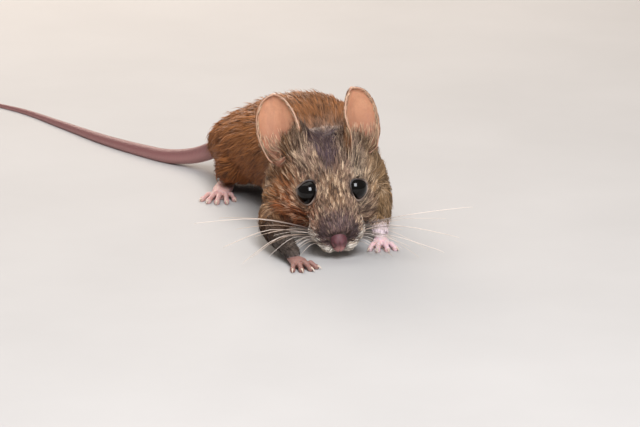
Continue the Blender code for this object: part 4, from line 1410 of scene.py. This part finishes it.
def add_toe(flesh, claws, root, ahead, length, radius):
    """A toe raised at its knuckle, with a pad under its tip, and a curved claw."""
    knuckle = root + ahead * length * 0.45 + Vector((0, 0, radius * 0.75))
    tip = root + ahead * length
    tip.z = radius * 0.8
    limb_tube(flesh, ((root, radius), (root.lerp(knuckle, 0.6), radius * 0.84), (knuckle, radius * 0.92),
                      (knuckle.lerp(tip, 0.6), radius * 0.8), (tip, radius * 1.02)))
    ball(flesh, tip - Vector((0, 0, radius * 0.25)) + ahead * radius * 0.2, (radius * 0.85,) * 3)
    start = tip + ahead * radius * 0.5 + Vector((0, 0, radius * 0.35))
    end = tip + ahead * radius * 2.2
    end.z = radius * 0.42
    bend = start.lerp(end, 0.55) + Vector((0, 0, radius * 0.3))
    middles = smoothed((start, bend, end), 4)
    tube(claws, middles, [radius * s for s in np.linspace(0.42, 0.08, len(middles))], 10)


def make_paw(name, toes, palm, stand, skin, horn, stands_for):
    """A paw that points along -Y from its wrist: palm, knuckled toes with pads, and claws of their own."""
    long, wide, high = palm
    (x, y), heading = stand
    place = Matrix.Translation((x, y, 0)) @ turned(yaw=heading)
    flesh, claws = bmesh.new(), bmesh.new()
    knots = ((0, 0.6, 1.25), (0, -long * 0.25, high * 0.55), (0, -long * 0.7, high * 0.5),
             (0, -long, high * 0.42))
    middles = smoothed(knots, 4)
    shares = np.interp(np.linspace(0, 3, len(middles)), (0, 1, 2, 3), PALM_SHARES)
    tube(flesh, middles, [wide * share for share in shares], 20, flat=high / wide * 1.05)
    for i, (spread, length, radius) in enumerate(toes):
        across = (i / (len(toes) - 1) - 0.5) * wide * 0.72
        angle = math.radians(spread)
        ahead = Vector((math.sin(angle), -math.cos(angle), 0))
        add_toe(flesh, claws, Vector((across, -long * 0.86, radius * 1.15)), ahead, length, radius)
    for bm in (flesh, claws):
        bmesh.ops.transform(bm, matrix=place, verts=bm.verts)
    obj = blended(object_of(flesh, name), PAW_VOXEL, 3)
    points = points_of(obj.data)
    points[:, 2] = np.maximum(points[:, 2], 0.0)
    move_points(obj.data, points)
    finished(obj, skin, "bare_skin", stands_for)
    finished(object_of(claws, f"{name}_claws"), horn, "bare_skin")


def make_paws():
    horn = claw_finish()
    skin, painted_shade_skin, hind_skin = (paw_finish(name) for name in PAW_TINTS)
    for side in SIDES:
        # The right forepaw stands in shadow, so it takes the paw skin with painted shade.
        own, outward = (skin if side == "left" else painted_shade_skin), OUTWARD[side]
        make_paw(f"fore_{side}", FORE_TOES, FORE_PALM, FOREPAWS[side], own, horn, f"forepaw_{side}")
        toes = [(spread * outward, length, radius) for spread, length, radius in HIND_TOES][::outward]
        make_paw(f"hind_{side}", toes, HIND_PALM, HINDFEET[side], hind_skin, horn, f"hindfoot_{side}")


# ---- Tail ----

TAIL_RING = 0.5  # length of one ring of scales
TAIL_UPPER, TAIL_UNDER = tint(122, 78, 76), tint(186, 134, 130)
TAIL_BLOTCH, TAIL_GROOVE = tint(146, 94, 90), tint(92, 64, 62)


def tail_finish():
    finish = Finish("tail_scales")
    rings = (finish.attribute("run") * (2 * math.pi / TAIL_RING)).sine()
    colour = finish.mixed(finish.step(finish.attribute("upper"), -0.4, 0.7), TAIL_UNDER, TAIL_UPPER)
    colour = finish.mixed(finish.noise(0.6, 3.0) * 0.5, colour, TAIL_BLOTCH)
    colour = finish.mixed(finish.step(rings, -0.2, -0.9) * 0.45, colour, TAIL_GROOVE)
    return finish.surface(Base_Color=colour, Roughness=0.5, Normal=finish.bump(rings, 0.6, 0.05))


def tail_line():
    """Middles and radii along the tail, resting on the floor, each with its run from the root."""
    path = smoothed(TAIL_KNOTS, 24)
    for point in path:
        point.z = max(point.z, 0.0)
    middles, radii, runs, run = [], [], [], 0.0
    for i, point in enumerate(path):
        run += (point - path[i - 1]).length if i else 0.0
        if run > TAIL_LENGTH:
            break
        radius = between(TAIL_ROOT_RADIUS, TAIL_TIP_RADIUS, (run / TAIL_LENGTH) ** 0.75)
        middles.append(point + Vector((0, 0, radius * TAIL_SETTLED)))
        radii.append(radius)
        runs.append(run)
    return middles, radii, runs


def make_tail():
    middles, radii, runs = tail_line()
    bm = bmesh.new()
    run_layer, upper_layer = bm.verts.layers.float.new("run"), bm.verts.layers.float.new("upper")
    rings = tube(bm, middles, radii, 20)
    for ring, middle, radius, run in zip(rings, middles, radii, runs):
        for vert in ring:
            vert[run_layer], vert[upper_layer] = run, (vert.co.z - middle.z) / radius
            vert.co.z = max(vert.co.z, 0.0)
    tail = object_of(faced_out(bm), "tail")
    finished(tail, tail_finish(), "tail_skin", "tail_root", "tail_upper", "tail_lower", "tail_tip")


# ---- Whiskers ----

WHISKER_ROWS = 5
WHISKER_COLUMNS = (0.26, 0.45, 0.72)  # each column's reach, front to back, as a share of the longest
ROOT_STEP = Vector((-0.5, -0.9, -0.1))  # from one column's roots to those of the column before it
LONG_RADIUS = 0.1
WHISKER_FLOOR = 0.12  # least height above the floor


def whisker_finish():
    finish = Finish("whisker")
    pale = finish.mixed(finish.attribute("shade"), tint(196, 166, 140), tint(240, 226, 214))
    colour = finish.mixed(finish.step(finish.attribute("along"), 0.05, 0.5), tint(84, 66, 60), pale)
    return finish.surface(Base_Color=colour, Roughness=0.35)


def whisker(bm, layers, root, middle, tip, radius, shade):
    """One whisker on a smooth arc that droops past its tip, thinning all the way."""
    end = tip + (tip - middle) * 0.16 + Vector((0, 0, -0.25))
    line = smoothed((root, middle, tip, end), 4)
    for point in line:
        point.z = max(point.z, WHISKER_FLOOR)
    shares = np.linspace(0, 1, len(line))
    rings = tube(bm, line, radius * (1 - 0.8 * shares), 5)
    for ring, share in zip(rings, shares):
        for vert in ring:
            vert[layers[0]], vert[layers[1]] = share, shade


def finer_whiskers(side, longest, rng):
    """Root, middle, tip, radius and shade of each finer whisker, in rows on the arcs between the longest."""
    for row in np.linspace(0, len(longest) - 1, WHISKER_ROWS):
        upper = min(int(row), len(longest) - 2)
        base, bend, end = (a.lerp(b, row - upper) for a, b in zip(longest[upper], longest[upper + 1]))
        for column, reach in enumerate(WHISKER_COLUMNS):
            step = Vector((ROOT_STEP.x * OUTWARD[side], *ROOT_STEP[1:])) * (2 - column)
            root = base + HEAD.to_3x3() @ step
            reach = reach * rng.uniform(0.8, 1.2)
            fan = Vector((0, rng.uniform(-1.2, 0.6), rng.uniform(-1.6, 1.2) - 0.5 * row))
            middle = root + (bend - base + fan * 0.5) * reach
            tip = root + (end - base + fan * 2.0) * reach
            yield root, middle, tip, 0.05 + 0.02 * reach, rng.random()


def make_whiskers():
    """The longest whiskers of each pad, and rows of finer ones before them."""
    rng = np.random.default_rng(21)
    bm = bmesh.new()
    layers = bm.verts.layers.float.new("along"), bm.verts.layers.float.new("shade")
    for side in SIDES:
        aside, forward = WHISKER_PAD[0] * OUTWARD[side], WHISKER_PAD[1]
        roots = [HEAD @ Vector((aside, forward, height)) for height in WHISKER_ROOTS]
        longest = [(root, Vector(middle), Vector(tip)) for root, (middle, tip) in zip(roots, WHISKERS[side])]
        for arc in longest:
            whisker(bm, layers, *arc, LONG_RADIUS, rng.uniform(0.5, 1.0))
        for arc in finer_whiskers(side, longest, rng):
            whisker(bm, layers, *arc)
    finished(object_of(faced_out(bm), "whiskers"), whisker_finish(), "pale_coat")


# ---- The whole mouse ----

make_camera()
make_floor()
make_lights()
skin = make_skin()
ground = Ground(skin.data)
make_coat(ground)
make_ear_base_hair(ground)
finished(skin, under_coat_finish(), "coat", *FLESH, *PADS)
make_eyes()
make_nose()
make_ears(ground)
make_ear_hair(ground)
make_paws()
make_tail()
make_whiskers()
